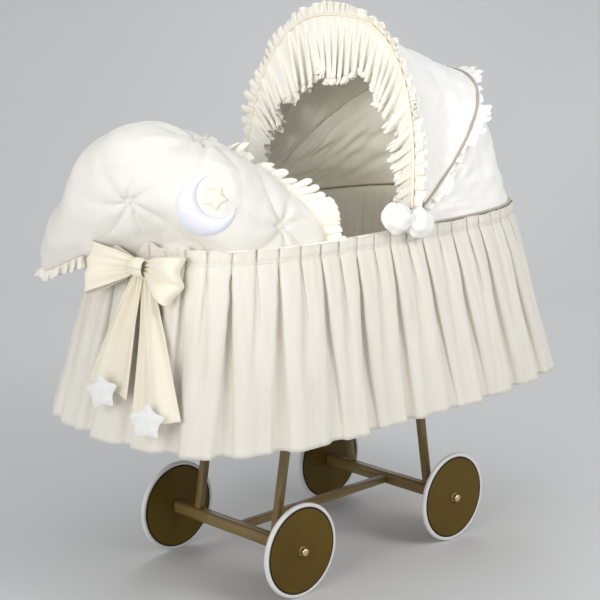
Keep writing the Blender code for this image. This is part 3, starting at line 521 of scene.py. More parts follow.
def cord(name, line, radius, material, ring=False, sides=10):
    """A round covered cord, or piping, along a line."""
    line = np.array(line, float)
    ahead = np.roll(line, -1, axis=0) - np.roll(line, 1, axis=0)
    if not ring:
        ahead[0], ahead[-1] = line[1] - line[0], line[-1] - line[-2]
    ahead /= np.linalg.norm(ahead, axis=1)[:, None]
    side = np.cross(ahead, np.array([0.31, 0.11, 0.94]))
    side /= np.linalg.norm(side, axis=1)[:, None]
    up = np.cross(side, ahead)
    around = np.linspace(0, 2 * np.pi, sides + 1)[:-1]
    rings = (line[:, None] + radius * (side[:, None] * np.cos(around)[None, :, None]
                                      + up[:, None] * np.sin(around)[None, :, None]))
    run = run_along(line)
    faces, places = [], []
    last = len(line) if ring else len(line) - 1
    for i in range(last):
        for j in range(sides):
            k, n = (j + 1) % sides, (i + 1) % len(line)
            faces.append((i * sides + j, n * sides + j, n * sides + k, i * sides + k))
            here, there = run[i], run[i] + np.linalg.norm(line[n] - line[i])
            low, high = j * radius * 0.6, (j + 1) * radius * 0.6
            places += [(here, low), (there, low), (there, high), (here, high)]
    if not ring:
        faces += [tuple(range(sides)), tuple(reversed(range(last * sides, last * sides + sides)))]
        places += [(0, 0)] * (2 * sides)
    return face_outwards(from_points(name, rings, faces, material, places))


def dress(piece, body, slot, *nodes):
    """Makes a piece ride on a body and hides the plain solids it replaces; slot is not used."""
    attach(piece, body)
    if nodes:
        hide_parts(*nodes)
    return piece


def cut_sheet(piece, width, rests_on):
    """Prints the cut of a sheet that is that wide and as long as its cloth needs: a closed thin
    sheet's area is half its surface."""
    area = sum(face.area for face in piece.data.polygons) / 2
    round(area / width, 3)
    print(piece.name, "cut", width, "x", round(area / width, 3), "m")
    return piece


# %% [markdown]
# ## The skirt
# The skirt is one long strip, box-pleated into a band under the rim and left to open towards its
# hem. At the band each pleat is a flat face with a narrow deep groove beside it, and further down
# the grooves widen and wander into soft folds. The strip is written as rows round the oval: the
# groove's depth pushes points inwards, and a sideways shift tucks the cloth under its neighbours.

# %% Where the pleats lie
PLEAT = 0.056                     # from one groove to the next, along the hem
COLUMNS = 1000
skirt_turns, skirt_run = even_turns((HEM.x, HEM.y), COLUMNS + 1)
skirt_turns = skirt_turns[:-1]
pleats = 2 * round(skirt_run / PLEAT / 2)
TOP_HALF = np.array((0.4903, 0.2513))
HEM_HALF = np.array((HEM.x, HEM.y))
SEAM = 0.7195                     # height of the stitching under the heading
HEADING = SKIRT_TOP + 0.004


def skirt_half(z):
    """Half the skirt's length and width at a height."""
    share = (SKIRT_TOP - z) / (SKIRT_TOP - SKIRT_HEM)
    return TOP_HALF + (HEM_HALF - TOP_HALF) * share


random.seed(4)
groove_size = [random.uniform(0.75, 1.25) * (1.0 if i % 2 else 0.62) for i in range(pleats)]
groove_place = [random.uniform(-0.10, 0.10) for i in range(pleats)]
position = np.arange(COLUMNS) / COLUMNS * pleats
nearest = np.round(position).astype(int) % pleats
depth_of = np.array(groove_size)[nearest]
shift_of = np.array(groove_place)[nearest]
small_fold = nearest % 2 == 0
ring_turn = position / pleats * 2 * np.pi
ring_place = np.stack([np.cos(ring_turn), np.sin(ring_turn)], 1)


def round_noise(seed, scale, height):
    """Noise along the skirt that joins up where the strip closes."""
    return np.array([noise.noise(Vector((x * scale, y * scale, height + seed * 5.3))) * 1.7
                     for x, y in ring_place])


behind_bow = np.exp(-((ring_place[:, 0] + 1.0) / 0.30) ** 2
                    - ((ring_place[:, 1] + 0.12) / 0.42) ** 2)
levels = [HEADING - 0.0035 * i for i in range(7)]
levels += list(np.linspace(SEAM - 0.004, SKIRT_HEM, 41))
print("pleats", pleats, "rows", len(levels))

# %% Skirt with pleats
rows = []
for z in levels:
    down = max(0.0, (SEAM - z) / (SEAM - SKIRT_HEM))
    head = max(0.0, (z - SEAM) / (HEADING - SEAM))
    sway = round_noise(1, 5.0, z * 2.2) * 0.16 * down
    q = (position + 0.5) % 1.0 - 0.5 - shift_of * (0.3 + 0.7 * down) - sway
    width = 0.055 + 0.30 * down ** 0.85 + 0.05 * head * behind_bow
    uneven = 0.65 * (1 - down)
    flank = np.where(q > 0, q / (width * (1 + uneven)), q / (width * (1 - 0.6 * uneven)))
    dip = np.exp(-flank ** 2)
    band = math.exp(-((z - SEAM) / 0.0045) ** 2)
    depth = 0.0055 + 0.021 * min(1.0, down * 2.6) + 0.004 * head * (1 + 0.8 * behind_bow)
    depth = depth * (1 - 0.55 * band)
    fades = np.where(small_fold, 1 - 0.92 * min(1.0, down * 1.5), 1.0 - 0.12 * down)
    depth = depth * depth_of * fades * (1 + 0.35 * round_noise(7, 9.0, z * 3.0) * down)
    belly = 0.004 + 0.005 * min(1.0, down * 5) - 0.004 * band
    belly = belly + 0.004 * head * (1 + 0.9 * head * behind_bow)
    belly = belly + 0.009 * down * round_noise(3, 7.0, z * 1.3)
    out = belly + 0.0012 * round_noise(5, 34.0, z * 15) - depth * dip
    if z > 0.705:
        out = np.maximum(out, -0.0006 + 0.0004 * dip)
    tuck = -np.sign(q) * np.sin(2 * np.pi * dip) * PLEAT * (0.06 + 0.09 * down) * depth_of
    tuck = np.where(q > 0, tuck * 1.5, tuck * 0.6) * fades * (1 - 0.75 * down)
    half = skirt_half(min(z, SKIRT_TOP))
    ripple = (0.0018 + 0.007 * behind_bow) * head * (round_noise(11, 15.0, 0.3) + 0.7 * behind_bow)
    row = []
    for j, turn in enumerate(skirt_turns):
        point = oval(turn, half, z + ripple[j])
        facing = oval_out(point, half)
        side = Vector((-facing.y, facing.x, 0))
        row.append(point + facing * out[j] + side * tuck[j])
    rows.append(row)
skirt = dress(cloth("skirt_cloth", rows, IVORY, 0.0016, ring=True), "root", "ivory_cotton", "skirt")
hem_length, band_length = run_along(rows[-1])[-1], run_along(rows[6])[-1]
drop = levels[0] - levels[-1]
SKIRT_FLAT = (round(float(hem_length), 2), round(drop + 0.02, 2))
SKIRT_AREA = round(float(0.5 * (hem_length + band_length) * drop * 1.02), 3)
print("skirt cut", SKIRT_FLAT, "area", SKIRT_AREA)

# %% Band of stitching under the skirt's heading
half = skirt_half(SEAM)
band_turns, _ = even_turns(half, 601)
line = [oval(t, half, SEAM) + oval_out(oval(t, half, 0), half) * 0.0035 for t in band_turns[:-1]]
dress(cord("skirt_band_cord", line, 0.0010, IVORY, ring=True, sides=6), "root", "ivory_cotton")

# %% Facing strip from the skirt's heading in to the lining
inner = [oval(turn, (0.4880, 0.2490), 0.7412) for turn in skirt_turns]
outer = [p - oval_out(p, half) * 0.0008 for p in rows[2]]
strip = [[a.lerp(b, share) for a, b in zip(outer, inner)] for share in (0, 0.5, 1)]
facing = cloth("skirt_facing", strip, IVORY, 0.0010, ring=True)
cut_sheet(dress(facing, "root", "ivory_cotton"), 0.012, ["basket_rim"])

# %% [markdown]
# ## The lining of the basket
# A cotton lining hides the wicker inside. It is sewn to the skirt's heading, turns over the cane rim
# and hangs down the inside in shallow upright gathers.

# %% Lining over the rim and down the inside
turns, _ = even_turns((0.4655, 0.2265), 901)
turns = turns[:-1]
# half length, half width and height of each row: over the rim first, then down the wall
steps = [(0.4893, 0.2503, 0.7405), (0.4855, 0.2465, 0.7425), (0.4790, 0.2400, 0.7425),
         (0.4700, 0.2310, 0.7400), (0.4655, 0.2262, 0.7330)]
steps += [(0.4655 + (0.4285 - 0.4655) * t, 0.2262 + (0.2022 - 0.2262) * t, 0.733 - 0.219 * t)
          for t in np.linspace(0.06, 1.0, 16)]
run = np.arange(900) / 900
GATHERS = 96
rows = []
for i, (a, b, z) in enumerate(steps):
    deep = min(1.0, max(0.0, (i - 2) / 5))
    drift = [noise.noise(Vector((math.cos(u * 6.283) * 6, math.sin(u * 6.283) * 6, z * 3)))
             for u in run]
    gather = 0.0022 * deep * np.sin(2 * np.pi * (run * GATHERS + 0.35 * np.array(drift)))
    rows.append([oval(t, (a, b), z) - oval_out(oval(t, (a, b), 0), (a, b)) * (0.0015 + g)
                 for t, g in zip(turns, gather)])
lining = cloth("basket_lining", rows, LINING, 0.0014, ring=True)
dress(lining, "root", "ivory_cotton", "liner")
cut_sheet(lining, 2.60, ["basket_rim", "woven_basket"])

# %% [markdown]
# ## The hood
# Two steel hoops carry the hood: white cotton outside, a warmer lining inside, piping over each hoop
# and gathered frills. The cloth is pulled straight between the hoops and sags a little between them,
# with soft creases where the frill is gathered in.

# %% Hood cloth that follows the hoops
CLOTH_OUT = 0.008                 # the cloth's distance outside a hoop's middle
FOOT = 0.055                      # height above the hinge at which the cloth starts
SHARES, arch_length = even_shares("front", 181, FOOT)
REAR_SHARES, _ = even_shares("rear", 181, FOOT)


def follow(piece, two):
    """Bakes a sheet's place into its points; the sheet is not bent, and two is not used."""
    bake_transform(piece)
    points = points_of(piece) - np.array(HINGE)
    return piece


def hem_point(share):
    """Where the hood's cloth meets the skirt's heading, from the near side round to the far one."""
    turn = math.pi * (0.004 + 0.992 * share - 0.5)
    return oval(turn, (TOP_HALF[0] - 0.002, TOP_HALF[1] - 0.002), SKIRT_TOP + 0.006)


hem_run = run_along([hem_point(i / 900) for i in range(901)])
hem_shares = np.interp(np.linspace(0, hem_run[-1], 181), hem_run, np.linspace(0, 1, 901))


def stretched(start, stop, count, sag, seed, gathers=0.0, creases=0.0, pulls=0.0):
    """Rows between two lines, whose middle sags towards the hood's inside."""
    centre = np.array((0.22, 0.0, 0.74))
    start, stop = np.array(start), np.array(stop)
    run = np.linspace(0, 1, len(start))
    rows = []
    for i in range(count):
        t = i / (count - 1)
        row = start + (stop - start) * t
        away = row - centre
        away /= np.linalg.norm(away, axis=1)[:, None]
        near_start = math.exp(-t * 5)
        folds = gathers * near_start * np.sin(2 * np.pi * (run * 46 + wander(seed, run * 20) * 0.9))
        folds = folds + pulls * wander(seed + 2, run * 26 + 0.6 * t) * (1 - 0.55 * t)
        soft = creases * np.array([noise.noise(Vector((u * 9 + t * 5, t * 2.2 - u * 3, seed * 3.1)))
                                   + 0.6 * noise.noise(Vector((u * 22 - t * 9, t * 5, seed * 8.1)))
                                   for u in run]) * math.sin(math.pi * t) ** 0.5
        rows.append(row + away * (folds + soft - sag * math.sin(math.pi * t))[:, None])
    return rows


front_line = [arch(s, "front", CLOTH_OUT, 0.005) for s in SHARES]
rear_line = [arch(s, "rear", CLOTH_OUT) for s in REAR_SHARES]
hem_line = [hem_point(s) for s in hem_shares]
front_in = [arch(s, "front", -ROD - 0.002) for s in SHARES]
rear_in = [arch(s, "rear", -ROD - 0.002) for s in REAR_SHARES]
hem_in = [p - Vector((p.x, p.y * 1.5, 0)).normalized() * 0.006 for p in hem_line]
# %% The four sheets of the hood
hood_sheets = (
    ("hood_front_cloth", stretched(front_line, rear_line, 44, 0.012, 2, 0.0022, 0.006, 0.0030),
     WHITE, 0.0016, 1.10),
    ("hood_rear_cloth", stretched(rear_line, hem_line, 48, 0.002, 5, 0.0012, 0.007, 0.0022),
     WHITE, 0.0016, 1.16),
    ("hood_front_lining", stretched(front_in, rear_in, 36, 0.013, 8, 0.0, 0.010, 0.001),
     LINING, 0.0012, 1.05),
    ("hood_rear_lining", stretched(rear_in, hem_in, 40, 0.008, 9, 0.0, 0.010, 0.0012),
     LINING, 0.0012, 1.10),
)
for name, rows, finish, thick, width in hood_sheets:
    section = name.rsplit("_", 1)[0]
    piece = cloth(name, rows, finish, thick)
    follow(piece, "hood_rear" if section == "hood_front" else "root")
    if name.endswith("cloth"):
        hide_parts(section + "_panel")
    cut_sheet(piece, width, [section + "_hoop"])
print("hood arch", round(arch_length, 3), "m")

# %% [markdown]
# ## Piping and frills of the hood
# A covered cord runs over each hoop. Outside it stands a gathered frill, and inside the front hoop
# hangs a deep gathered valance that ends in a drawn channel and a narrow ruffle. A gathered strip's
# folds are small at its seam and grow towards its free edge, which is how the helper builds them.

# %% Hood piping, frills and valance
def hoop_frame(hoop, count, foot, out):
    """Points on a hoop's cloth line with the outward and forward directions at each."""
    shares, _ = even_shares(hoop, count, foot)
    points = [arch(s, hoop, out) for s in shares]
    beyond = [arch(s, hoop, out + 0.01) for s in shares]
    outward = [(b - a).normalized() for a, b in zip(points, beyond)]
    return np.array(points), np.array(outward), np.array([ahead_of(hoop)] * count)


ALONG_FRONT, VALANCE_ROWS = 1100, 20
points, outward, ahead = hoop_frame("front", ALONG_FRONT, 0.03, CLOTH_OUT)
seam = points + ahead * 0.005
dress(cord("hood_front_piping", seam[::3] + ahead[::3] * 0.005, 0.0034, CREAM), "hood_front",
      "white_cotton")
frill = ruffle("hood_front_frill", seam, outward * 0.025 + ahead * 0.004, ahead, FRILL,
               pitch=0.026, height=0.0062, seed=11)
cut_sheet(dress(frill, "hood_front", "ivory_cotton"), 0.030, ["hood_front_hoop"])

rise = np.clip((points[:, 2] - HINGE.z) / HOOP["front"][0], 0, 1)
far = points[:, 1] > 0
deep = np.where(far, 0.042 + 0.078 * rise ** 1.4, 0.030 + 0.090 * rise ** 1.8)
deep = deep * (1 + 0.10 * wander(77, np.arange(len(deep)) / 60))
inward = -outward + np.array((0, 0, -0.85))[None] * (rise ** 1.2)[:, None]
inward /= np.linalg.norm(inward, axis=1)[:, None]
inward = inward - ahead * 0.04
start = seam + ahead * 0.0045
valance = ruffle("hood_valance", start, inward * deep[:, None], ahead, FRILL, pitch=0.031,
                 height=0.0085, seed=21, rows=VALANCE_ROWS, loose=0.12)
cut_sheet(dress(valance, "hood_front", "ivory_cotton"), 1.40, ["hood_front_hoop"])
# the ruffle follows the valance's own folded lower edge, its last row
edge = points_of(valance)[(VALANCE_ROWS - 1) * ALONG_FRONT:VALANCE_ROWS * ALONG_FRONT]
for _ in range(4):
    edge[1:-1] = 0.5 * edge[1:-1] + 0.25 * (edge[:-2] + edge[2:])
lip = ruffle("hood_valance_ruffle", edge, inward * 0.015 + ahead * 0.004, ahead, FRILL,
             pitch=0.017, height=0.0065, seed=31, rows=8)
cut_sheet(dress(lip, "hood_front", "ivory_cotton"), 0.018, ["hood_valance"])

points, outward, ahead = hoop_frame("rear", 900, 0.045, CLOTH_OUT)
dress(cord("hood_rear_piping", points[::3] + outward[::3] * 0.002, 0.0030, TAUPE), "hood_rear",
      "white_cotton")
frill = ruffle("hood_rear_frill", points, outward * 0.020 - ahead * 0.013, outward, WHITE,
               pitch=0.026, height=0.0065, seed=41)
cut_sheet(dress(frill, "hood_rear", "white_cotton"), 0.028, ["hood_rear_hoop"])
line = [p + Vector((p.x, p.y * 1.5, 0)).normalized() * 0.003 for p in hem_line]
dress(cord("hood_hem_cord", line, 0.0030, TAUPE), "root", "white_cotton")
print("hood trimmed")

# %% [markdown]
# ## The mattress
# A stuffed piece is a bag that its filling pushes tight, so it is made the same way: the plain solid
# is remeshed into small even squares, given a cloth simulation with air pressure and no gravity, and
# left to swell for twenty frames. No point may move further than a cap, so it keeps its place.

# %% Swell a padded piece
MERGE = 0.00002


def merged_copy(name, node):
    """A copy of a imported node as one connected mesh, with no material."""
    source = frame["nodes"][node]
    mesh = source.data.copy()
    mesh.transform(source.matrix_world)
    mesh.materials.clear()
    piece = bpy.data.objects.new(name, mesh)
    bpy.context.collection.objects.link(piece)
    take(piece)
    edit_all()
    bpy.ops.mesh.remove_doubles(threshold=MERGE)
    bpy.ops.object.mode_set(mode="OBJECT")
    return piece


def swell(piece, voxel, pressure, cap, steps=20):
    """Swells a piece by air pressure. No point moves further than the cap."""
    take(piece)
    remesh = piece.modifiers.new("squares", "REMESH")
    remesh.mode, remesh.voxel_size = "VOXEL", voxel
    bpy.ops.object.modifier_apply(modifier="squares")
    before = points_of(piece)
    bag = piece.modifiers.new("bag", "CLOTH")
    bag.settings.use_pressure = True
    bag.settings.uniform_pressure_force = pressure
    bag.settings.effector_weights.gravity = 0.0
    bag.settings.quality = 4
    bag.point_cache.frame_start, bag.point_cache.frame_end = 1, steps
    for step in range(1, steps + 1):
        bpy.context.scene.frame_set(step)
    shape = piece.evaluated_get(bpy.context.evaluated_depsgraph_get())
    move = points_of(shape) - before
    size = np.linalg.norm(move, axis=1)
    move *= (np.minimum(size, cap) / np.maximum(size, 1e-9))[:, None]
    piece.modifiers.remove(bag)
    bpy.context.scene.frame_set(1)
    piece.data.vertices.foreach_set("co", (before + move).ravel())
    piece.data.update()
    print(piece.name, "swelled by", round(float(size.max()) * 1000, 1), "mm at most")
    piece.data.polygons.foreach_set("use_smooth", [True] * len(piece.data.polygons))
    finer = piece.modifiers.new("finer", "SUBSURF")
    finer.levels = finer.render_levels = 1
    take(piece)
    bpy.ops.object.modifier_apply(modifier="finer")
    return piece


mattress = swell(merged_copy("mattress_pad", "mattress"), voxel=0.009, pressure=3.0, cap=0.006)
mattress.data.materials.append(WHITE_PAD)
dress(mattress, "root", "white_cotton", "mattress")

# %% [markdown]
# ## The quilt
# The quilt is folded back over the foot end in one soft bulge. Its shape is a smooth surface through
# a few ribs, with a front and a back that part over the filling and meet at the edges. Three buttons
# of thread pull it in, and wrinkles run out from each of them.

# %% The quilt's ribs
# each rib: inwards from the rim's end, across as a share of its half width, and up from the rim
RIBS = (
    ((0.084, -0.40, -0.040), (0.092, -0.60, -0.036), (0.118, -0.72, -0.034), (0.170, -0.80, -0.034),
     (0.236, -0.84, -0.034), (0.296, -0.855, -0.034)),
    ((0.056, -0.49, 0.030), (0.061, -0.65, 0.048), (0.101, -0.74, 0.050), (0.166, -0.80, 0.045),
     (0.236, -0.83, 0.038), (0.296, -0.83, 0.030)),
    ((0.024, -0.30, 0.035), (0.010, -0.45, 0.100), (0.046, -0.55, 0.140), (0.106, -0.64, 0.135),
     (0.176, -0.70, 0.115), (0.261, -0.75, 0.085)),
    ((-0.029, 0.00, 0.035), (-0.049, -0.14, 0.115), (-0.019, -0.22, 0.185), (0.046, -0.34, 0.200),
     (0.116, -0.43, 0.185), (0.211, -0.49, 0.145)),
    ((-0.064, 0.24, 0.010), (-0.076, 0.14, 0.110), (-0.049, 0.06, 0.200), (0.011, 0.02, 0.230),
     (0.081, 0.00, 0.225), (0.166, 0.00, 0.190)),
    ((-0.082, 0.51, -0.020), (-0.086, 0.43, 0.080), (-0.056, 0.38, 0.165), (0.011, 0.38, 0.200),
     (0.091, 0.43, 0.190), (0.186, 0.47, 0.155)),
    ((-0.086, 0.77, -0.045), (-0.070, 0.73, 0.030), (-0.019, 0.71, 0.090), (0.056, 0.71, 0.125),
     (0.136, 0.72, 0.120), (0.246, 0.74, 0.095)),
    ((-0.044, 0.92, -0.020), (-0.014, 0.91, 0.030), (0.046, 0.87, 0.045), (0.116, 0.85, 0.045),
     (0.196, 0.83, 0.038), (0.296, 0.83, 0.030)),
)
RIM_LEVEL = (rim_low.z + rim_high.z) / 2
QUILT_LONG, QUILT_WIDE = 120, 170
along = [smooth_steps([(inward - RIM.x, across * RIM.y, RIM_LEVEL + up)
                       for inward, across, up in rib], QUILT_LONG) for rib in RIBS]
middle = np.stack([smooth_steps([rib[i] for rib in along], QUILT_WIDE) for i in range(QUILT_LONG)])
print("quilt surface", middle.shape)

# %% Tuck the foot edge's near half down behind the rim
inside = (0.450, 0.212)
place = np.linspace(0, 1, QUILT_WIDE)
tucked = 1 - np.clip((place - 0.56) / 0.10, 0, 1)
tucked = tucked ** 2 * (3 - 2 * tucked)
size = (np.abs(middle[0, :, 0] / inside[0]) ** OVAL_POWER
        + np.abs(middle[0, :, 1] / inside[1]) ** OVAL_POWER) ** (1 / OVAL_POWER)
target = middle[0] / np.maximum(size, 1)[:, None]
target[:, 2] = RIM_LEVEL - 0.036
stay = middle[0] + (middle[0] - middle[1]) * 2.0
target = target * tucked[:, None] + stay * (1 - tucked)[:, None]
extra = [middle[0] + (target - middle[0]) * t for t in np.linspace(1, 0.07, 14)]
middle = np.concatenate([np.stack(extra), middle])
QUILT_LONG = len(middle)
for _ in range(12):
    middle[1:-1] = 0.5 * middle[1:-1] + 0.25 * (middle[:-2] + middle[2:])


# %% Filling, buttons and wrinkles
def normals_of(grid):
    across = np.gradient(grid, axis=1)
    up = np.gradient(grid, axis=0)
    facing = np.cross(across, up)
    facing /= np.linalg.norm(facing, axis=2)[:, :, None]
    return facing if facing[QUILT_LONG // 2, QUILT_WIDE // 2, 2] > 0 else -facing


facing = normals_of(middle)
BUTTONS = ((-0.293, -0.18, 0.773), (-0.40, -0.05, 0.889), (-0.565, -0.05, 0.823))
edge_in = np.minimum.reduce([np.linalg.norm(middle - edge, axis=2) for edge in (
    middle[:1], middle[-1:], middle[:, :1], middle[:, -1:])])
loft = 0.0105 * np.clip(edge_in / 0.035, 0, 1) ** 0.5 + 0.0006
crumple = np.array([[noise.noise(Vector((x * 5 + y * 4, y * 6 - z * 3, z * 5)))
                     + 0.42 * noise.noise(Vector((x * 9 - y * 7, y * 24 + x * 9, z * 9)))
                     + 0.10 * noise.noise(Vector((x * 40, y * 44, z * 45 + 9)))
                     for x, y, z in row] for row in middle])
crumple = 0.0150 * (0.25 - np.abs(crumple)) * np.clip(edge_in / 0.03, 0.15, 1)
pull = np.zeros_like(loft)
dimples = []
for k, button in enumerate(BUTTONS):
    far = np.linalg.norm(middle - np.array(button), axis=2)
    row, column = np.unravel_index(np.argmin(far), far.shape)
    dimples.append((row, column))
    away = middle - middle[row, column]
    far = np.linalg.norm(away, axis=2)
    one = middle[row, min(column + 3, QUILT_WIDE - 1)] - middle[row, column]
    one /= np.linalg.norm(one)
    two = np.cross(facing[row, column], one)
    turn = np.arctan2(away @ two, away @ one)
    spokes = np.abs(np.sin(turn * 3.5 + k * 1.3 + far * 9)) ** 0.7
    pull -= 0.014 * np.exp(-(far / 0.016) ** 2) + 0.009 * np.exp(-(far / 0.055) ** 2)
    pull += 0.0105 * (spokes - 0.5) * np.exp(-far / 0.085) * np.clip(far / 0.014, 0, 1)
swollen = loft * 1.25 + crumple + pull * np.clip(edge_in / 0.02, 0, 1)
front = middle + facing * np.maximum(swollen, -0.004)[:, :, None]
back = middle - facing * (loft * 0.8 + 0.0022 - crumple * 0.5)[:, :, None]
print("wrinkled round", len(dimples), "buttons")

# %% Sew the quilt's front to its back
shape = bmesh.new()
front_points = [[shape.verts.new(p) for p in row] for row in front]
back_points = [[shape.verts.new(p) for p in row] for row in back]
for grid, turned in ((front_points, False), (back_points, True)):
    for one, two in zip(grid, grid[1:]):
        for i in range(QUILT_WIDE - 1):
            ring = (one[i], one[i + 1], two[i + 1], two[i])
            shape.faces.new(ring[::-1] if turned else ring)


def outline(grid):
    return (grid[0] + [row[-1] for row in grid[1:-1]] + grid[-1][::-1]
            + [row[0] for row in grid[-2:0:-1]])


front_edge, back_edge = outline(front_points), outline(back_points)
for i in range(len(front_edge)):
    j = (i + 1) % len(front_edge)
    shape.faces.new((front_edge[j], front_edge[i], back_edge[i], back_edge[j]))
bmesh.ops.recalc_face_normals(shape, faces=shape.faces)
mesh = bpy.data.meshes.new("quilt_padded")
shape.to_mesh(mesh)
quilt = shown("quilt_padded", mesh, QUILTING)
dress(quilt, "root", "white_cotton", "quilt")
quilt_tree = BVHTree.FromPolygons([tuple(p) for p in points_of(quilt)],
                                  [tuple(p.vertices) for p in mesh.polygons])
print("quilt", len(mesh.polygons), "faces")

# %% Quilt frills and piping
def finer(values, count):
    """The same run of vectors in more, evenly spaced steps."""
    steps = np.linspace(0, len(values) - 1, count)
    return np.stack([np.interp(steps, np.arange(len(values)), values[:, i]) for i in range(3)], 1)


def edge_frill(name, edge, behind, up, rise, deep, cut, count, **folds):
    """A frill that carries a quilt's edge on, away from the row of points behind it."""
    reach = edge - behind
    reach = reach / np.linalg.norm(reach, axis=1)[:, None] + up * rise
    line, up = finer(edge, count), finer(up, count)
    frill = ruffle(name, line, finer(reach * deep, count), up, FRILL, pitch=0.030, **folds)
    cut_sheet(dress(frill, "root", "white_cotton"), cut, [quilt])
    return line, up


line, up = edge_frill("quilt_mouth_frill", middle[-1], middle[-4], facing[-1], 1.0, 0.026, 0.030,
                      900, height=0.0085, seed=51, rows=9)
dress(cord("quilt_mouth_piping", line[::3] + up[::3] * 0.003, 0.0030, CREAM), "root",
      "white_cotton")
first = int(QUILT_WIDE * 0.63)    # where the foot edge comes out from behind the rim
edge_frill("quilt_foot_frill", middle[0, first:], middle[3, first:], facing[0, first:], 0.0, 0.022,
           0.026, 600, height=0.0080, seed=61, rows=8)


# %% Outlines of the patches
def star_outline(radius, waist):
    """A five-pointed star with rounded points."""
    corners = []
    for k in range(10):
        r = radius if k % 2 == 0 else waist
        corners.append((r * math.sin(math.pi * k / 5), r * math.cos(math.pi * k / 5), 0))
    for _ in range(2):
        cut = []
        for p, q in zip(corners, corners[1:] + corners[:1]):
            p, q = Vector(p), Vector(q)
            cut += [p.lerp(q, 0.22), p.lerp(q, 0.78)]
        corners = cut
    return [(p[0], p[1]) for p in corners]


def crescent_outline(radius):
    """A disc's edge, and inside it the edge of a second disc that covers part of the first."""
    full = 2 * math.pi
    outer = [(radius * math.cos(a), radius * math.sin(a)) for a in np.linspace(0.80, full - 0.80, 44)]
    shift = radius * 0.50
    end = Vector(outer[-1]) - Vector((shift, 0))
    first = math.atan2(end.y, end.x) % full
    inner = [(shift + end.length * math.cos(a), end.length * math.sin(a))
             for a in np.linspace(first, full - first, 34)]
    return outer + inner[1:-1]


# %% A patch with a little filling
def padded_shape(name, outline_points, centre, right, up, thick, material, tree=None):
    """A flat shape with a soft rounded face and back, laid on a surface if a tree is given."""
    out = right.cross(up).normalized()
    shape = bmesh.new()
    flat = [shape.verts.new((x, y, 0)) for x, y in outline_points]
    face = shape.faces.new(flat)
    face.normal_update()
    if face.normal.z < 0:
        face.normal_flip()
    for size in (0.0011, 0.0016, 0.0022, 0.0030):
        bmesh.ops.inset_region(shape, faces=[face], thickness=size, use_even_offset=True)
    bmesh.ops.triangulate(shape, faces=[f for f in shape.faces if len(f.verts) > 4])
    bmesh.ops.subdivide_edges(shape, edges=shape.edges[:], cuts=1, use_grid_fill=True)
    rim_points = [Vector((x, y)) for x, y in outline_points]
    segments = list(zip(rim_points, rim_points[1:] + rim_points[:1]))

    def from_edge(p):
        best = 1.0
        for a, b in segments:
            t = max(0.0, min(1.0, (p - a).dot(b - a) / max((b - a).length_squared, 1e-12)))
            best = min(best, (p - a.lerp(b, t)).length)
        return best

    made = bmesh.new()
    pairs = {}
    for v in shape.verts:
        height = thick * (1 - math.exp(-from_edge(Vector(v.co[:2])) / 0.0035))
        base = centre + right * v.co.x + up * v.co.y
        if tree:
            hit = tree.ray_cast(base + out * 0.08, -out, 0.2)[0] or tree.find_nearest(base)[0]
            base = hit + out * 0.0022
        below = 0.0032 if tree else height
        pairs[v] = (made.verts.new(base + out * height), made.verts.new(base - out * below))
    for face in shape.faces:
        made.faces.new([pairs[v][0] for v in face.verts])
        made.faces.new([pairs[v][1] for v in reversed(face.verts)])
    for edge in shape.edges:
        if len(edge.link_faces) == 1:
            a, b = edge.verts
            made.faces.new((pairs[a][0], pairs[b][0], pairs[b][1], pairs[a][1]))
    bmesh.ops.recalc_face_normals(made, faces=made.faces)
    mesh = bpy.data.meshes.new(name)
    made.to_mesh(mesh)
    return shown(name, mesh, material)


# %% Crescent, star and thread knots on the quilt
centre, normal, _, _ = quilt_tree.find_nearest(Vector((-0.455, -0.165, 0.835)))
if normal.z < 0:
    normal = -normal
tilt = Vector((0.55, -0.50, 0.67))
right = (tilt - normal * tilt.dot(normal)).normalized()
up = normal.cross(right)
moon = padded_shape("quilt_crescent_patch", crescent_outline(0.056), centre, right, up, 0.0016,
                    PATCH, quilt_tree)
dress(moon, "root", "white_cotton")
spot = centre + right * 0.022
star = padded_shape("quilt_star_patch", star_outline(0.027, 0.0145), spot, right, up, 0.0034, CREAM,
                    quilt_tree)
dress(star, "root", "white_cotton")
for k, (row, column) in enumerate(dimples):
    hit = front[row, column]
    loose_start()
    bpy.ops.mesh.primitive_uv_sphere_add(segments=16, ring_count=8, radius=0.0032, location=hit)
    knot = bpy.context.object
    knot.name = f"quilt_thread_knot_{k + 1}"
    bpy.ops.object.transform_apply(location=True)
    knot.data.materials.append(CREAM)
    bpy.ops.object.shade_smooth()
    dress(knot, "root", "white_cotton")
print("quilt trimmed")

# %% [markdown]
# ## The big bow
# One wide cream ribbon is folded into two loops, pinched by a knot and left with two long tails. The
# loops are flattened tubes that narrow to the knot, and the tails hang just in front of the pleats.

# %% Points in front of the skirt's foot end
def on_skirt(y, z, lift):
    half = skirt_half(min(z, SKIRT_TOP))
    share = min(abs(y) / half[1], 0.98)
    x = -half[0] * (1 - share ** OVAL_POWER) ** (1 / OVAL_POWER)
    point = Vector((x, y, z))
    return point + (oval_out(point, half) + Vector((0, 0, 0.12))).normalized() * lift


KNOT_Y, KNOT_Z = -0.052, 0.706


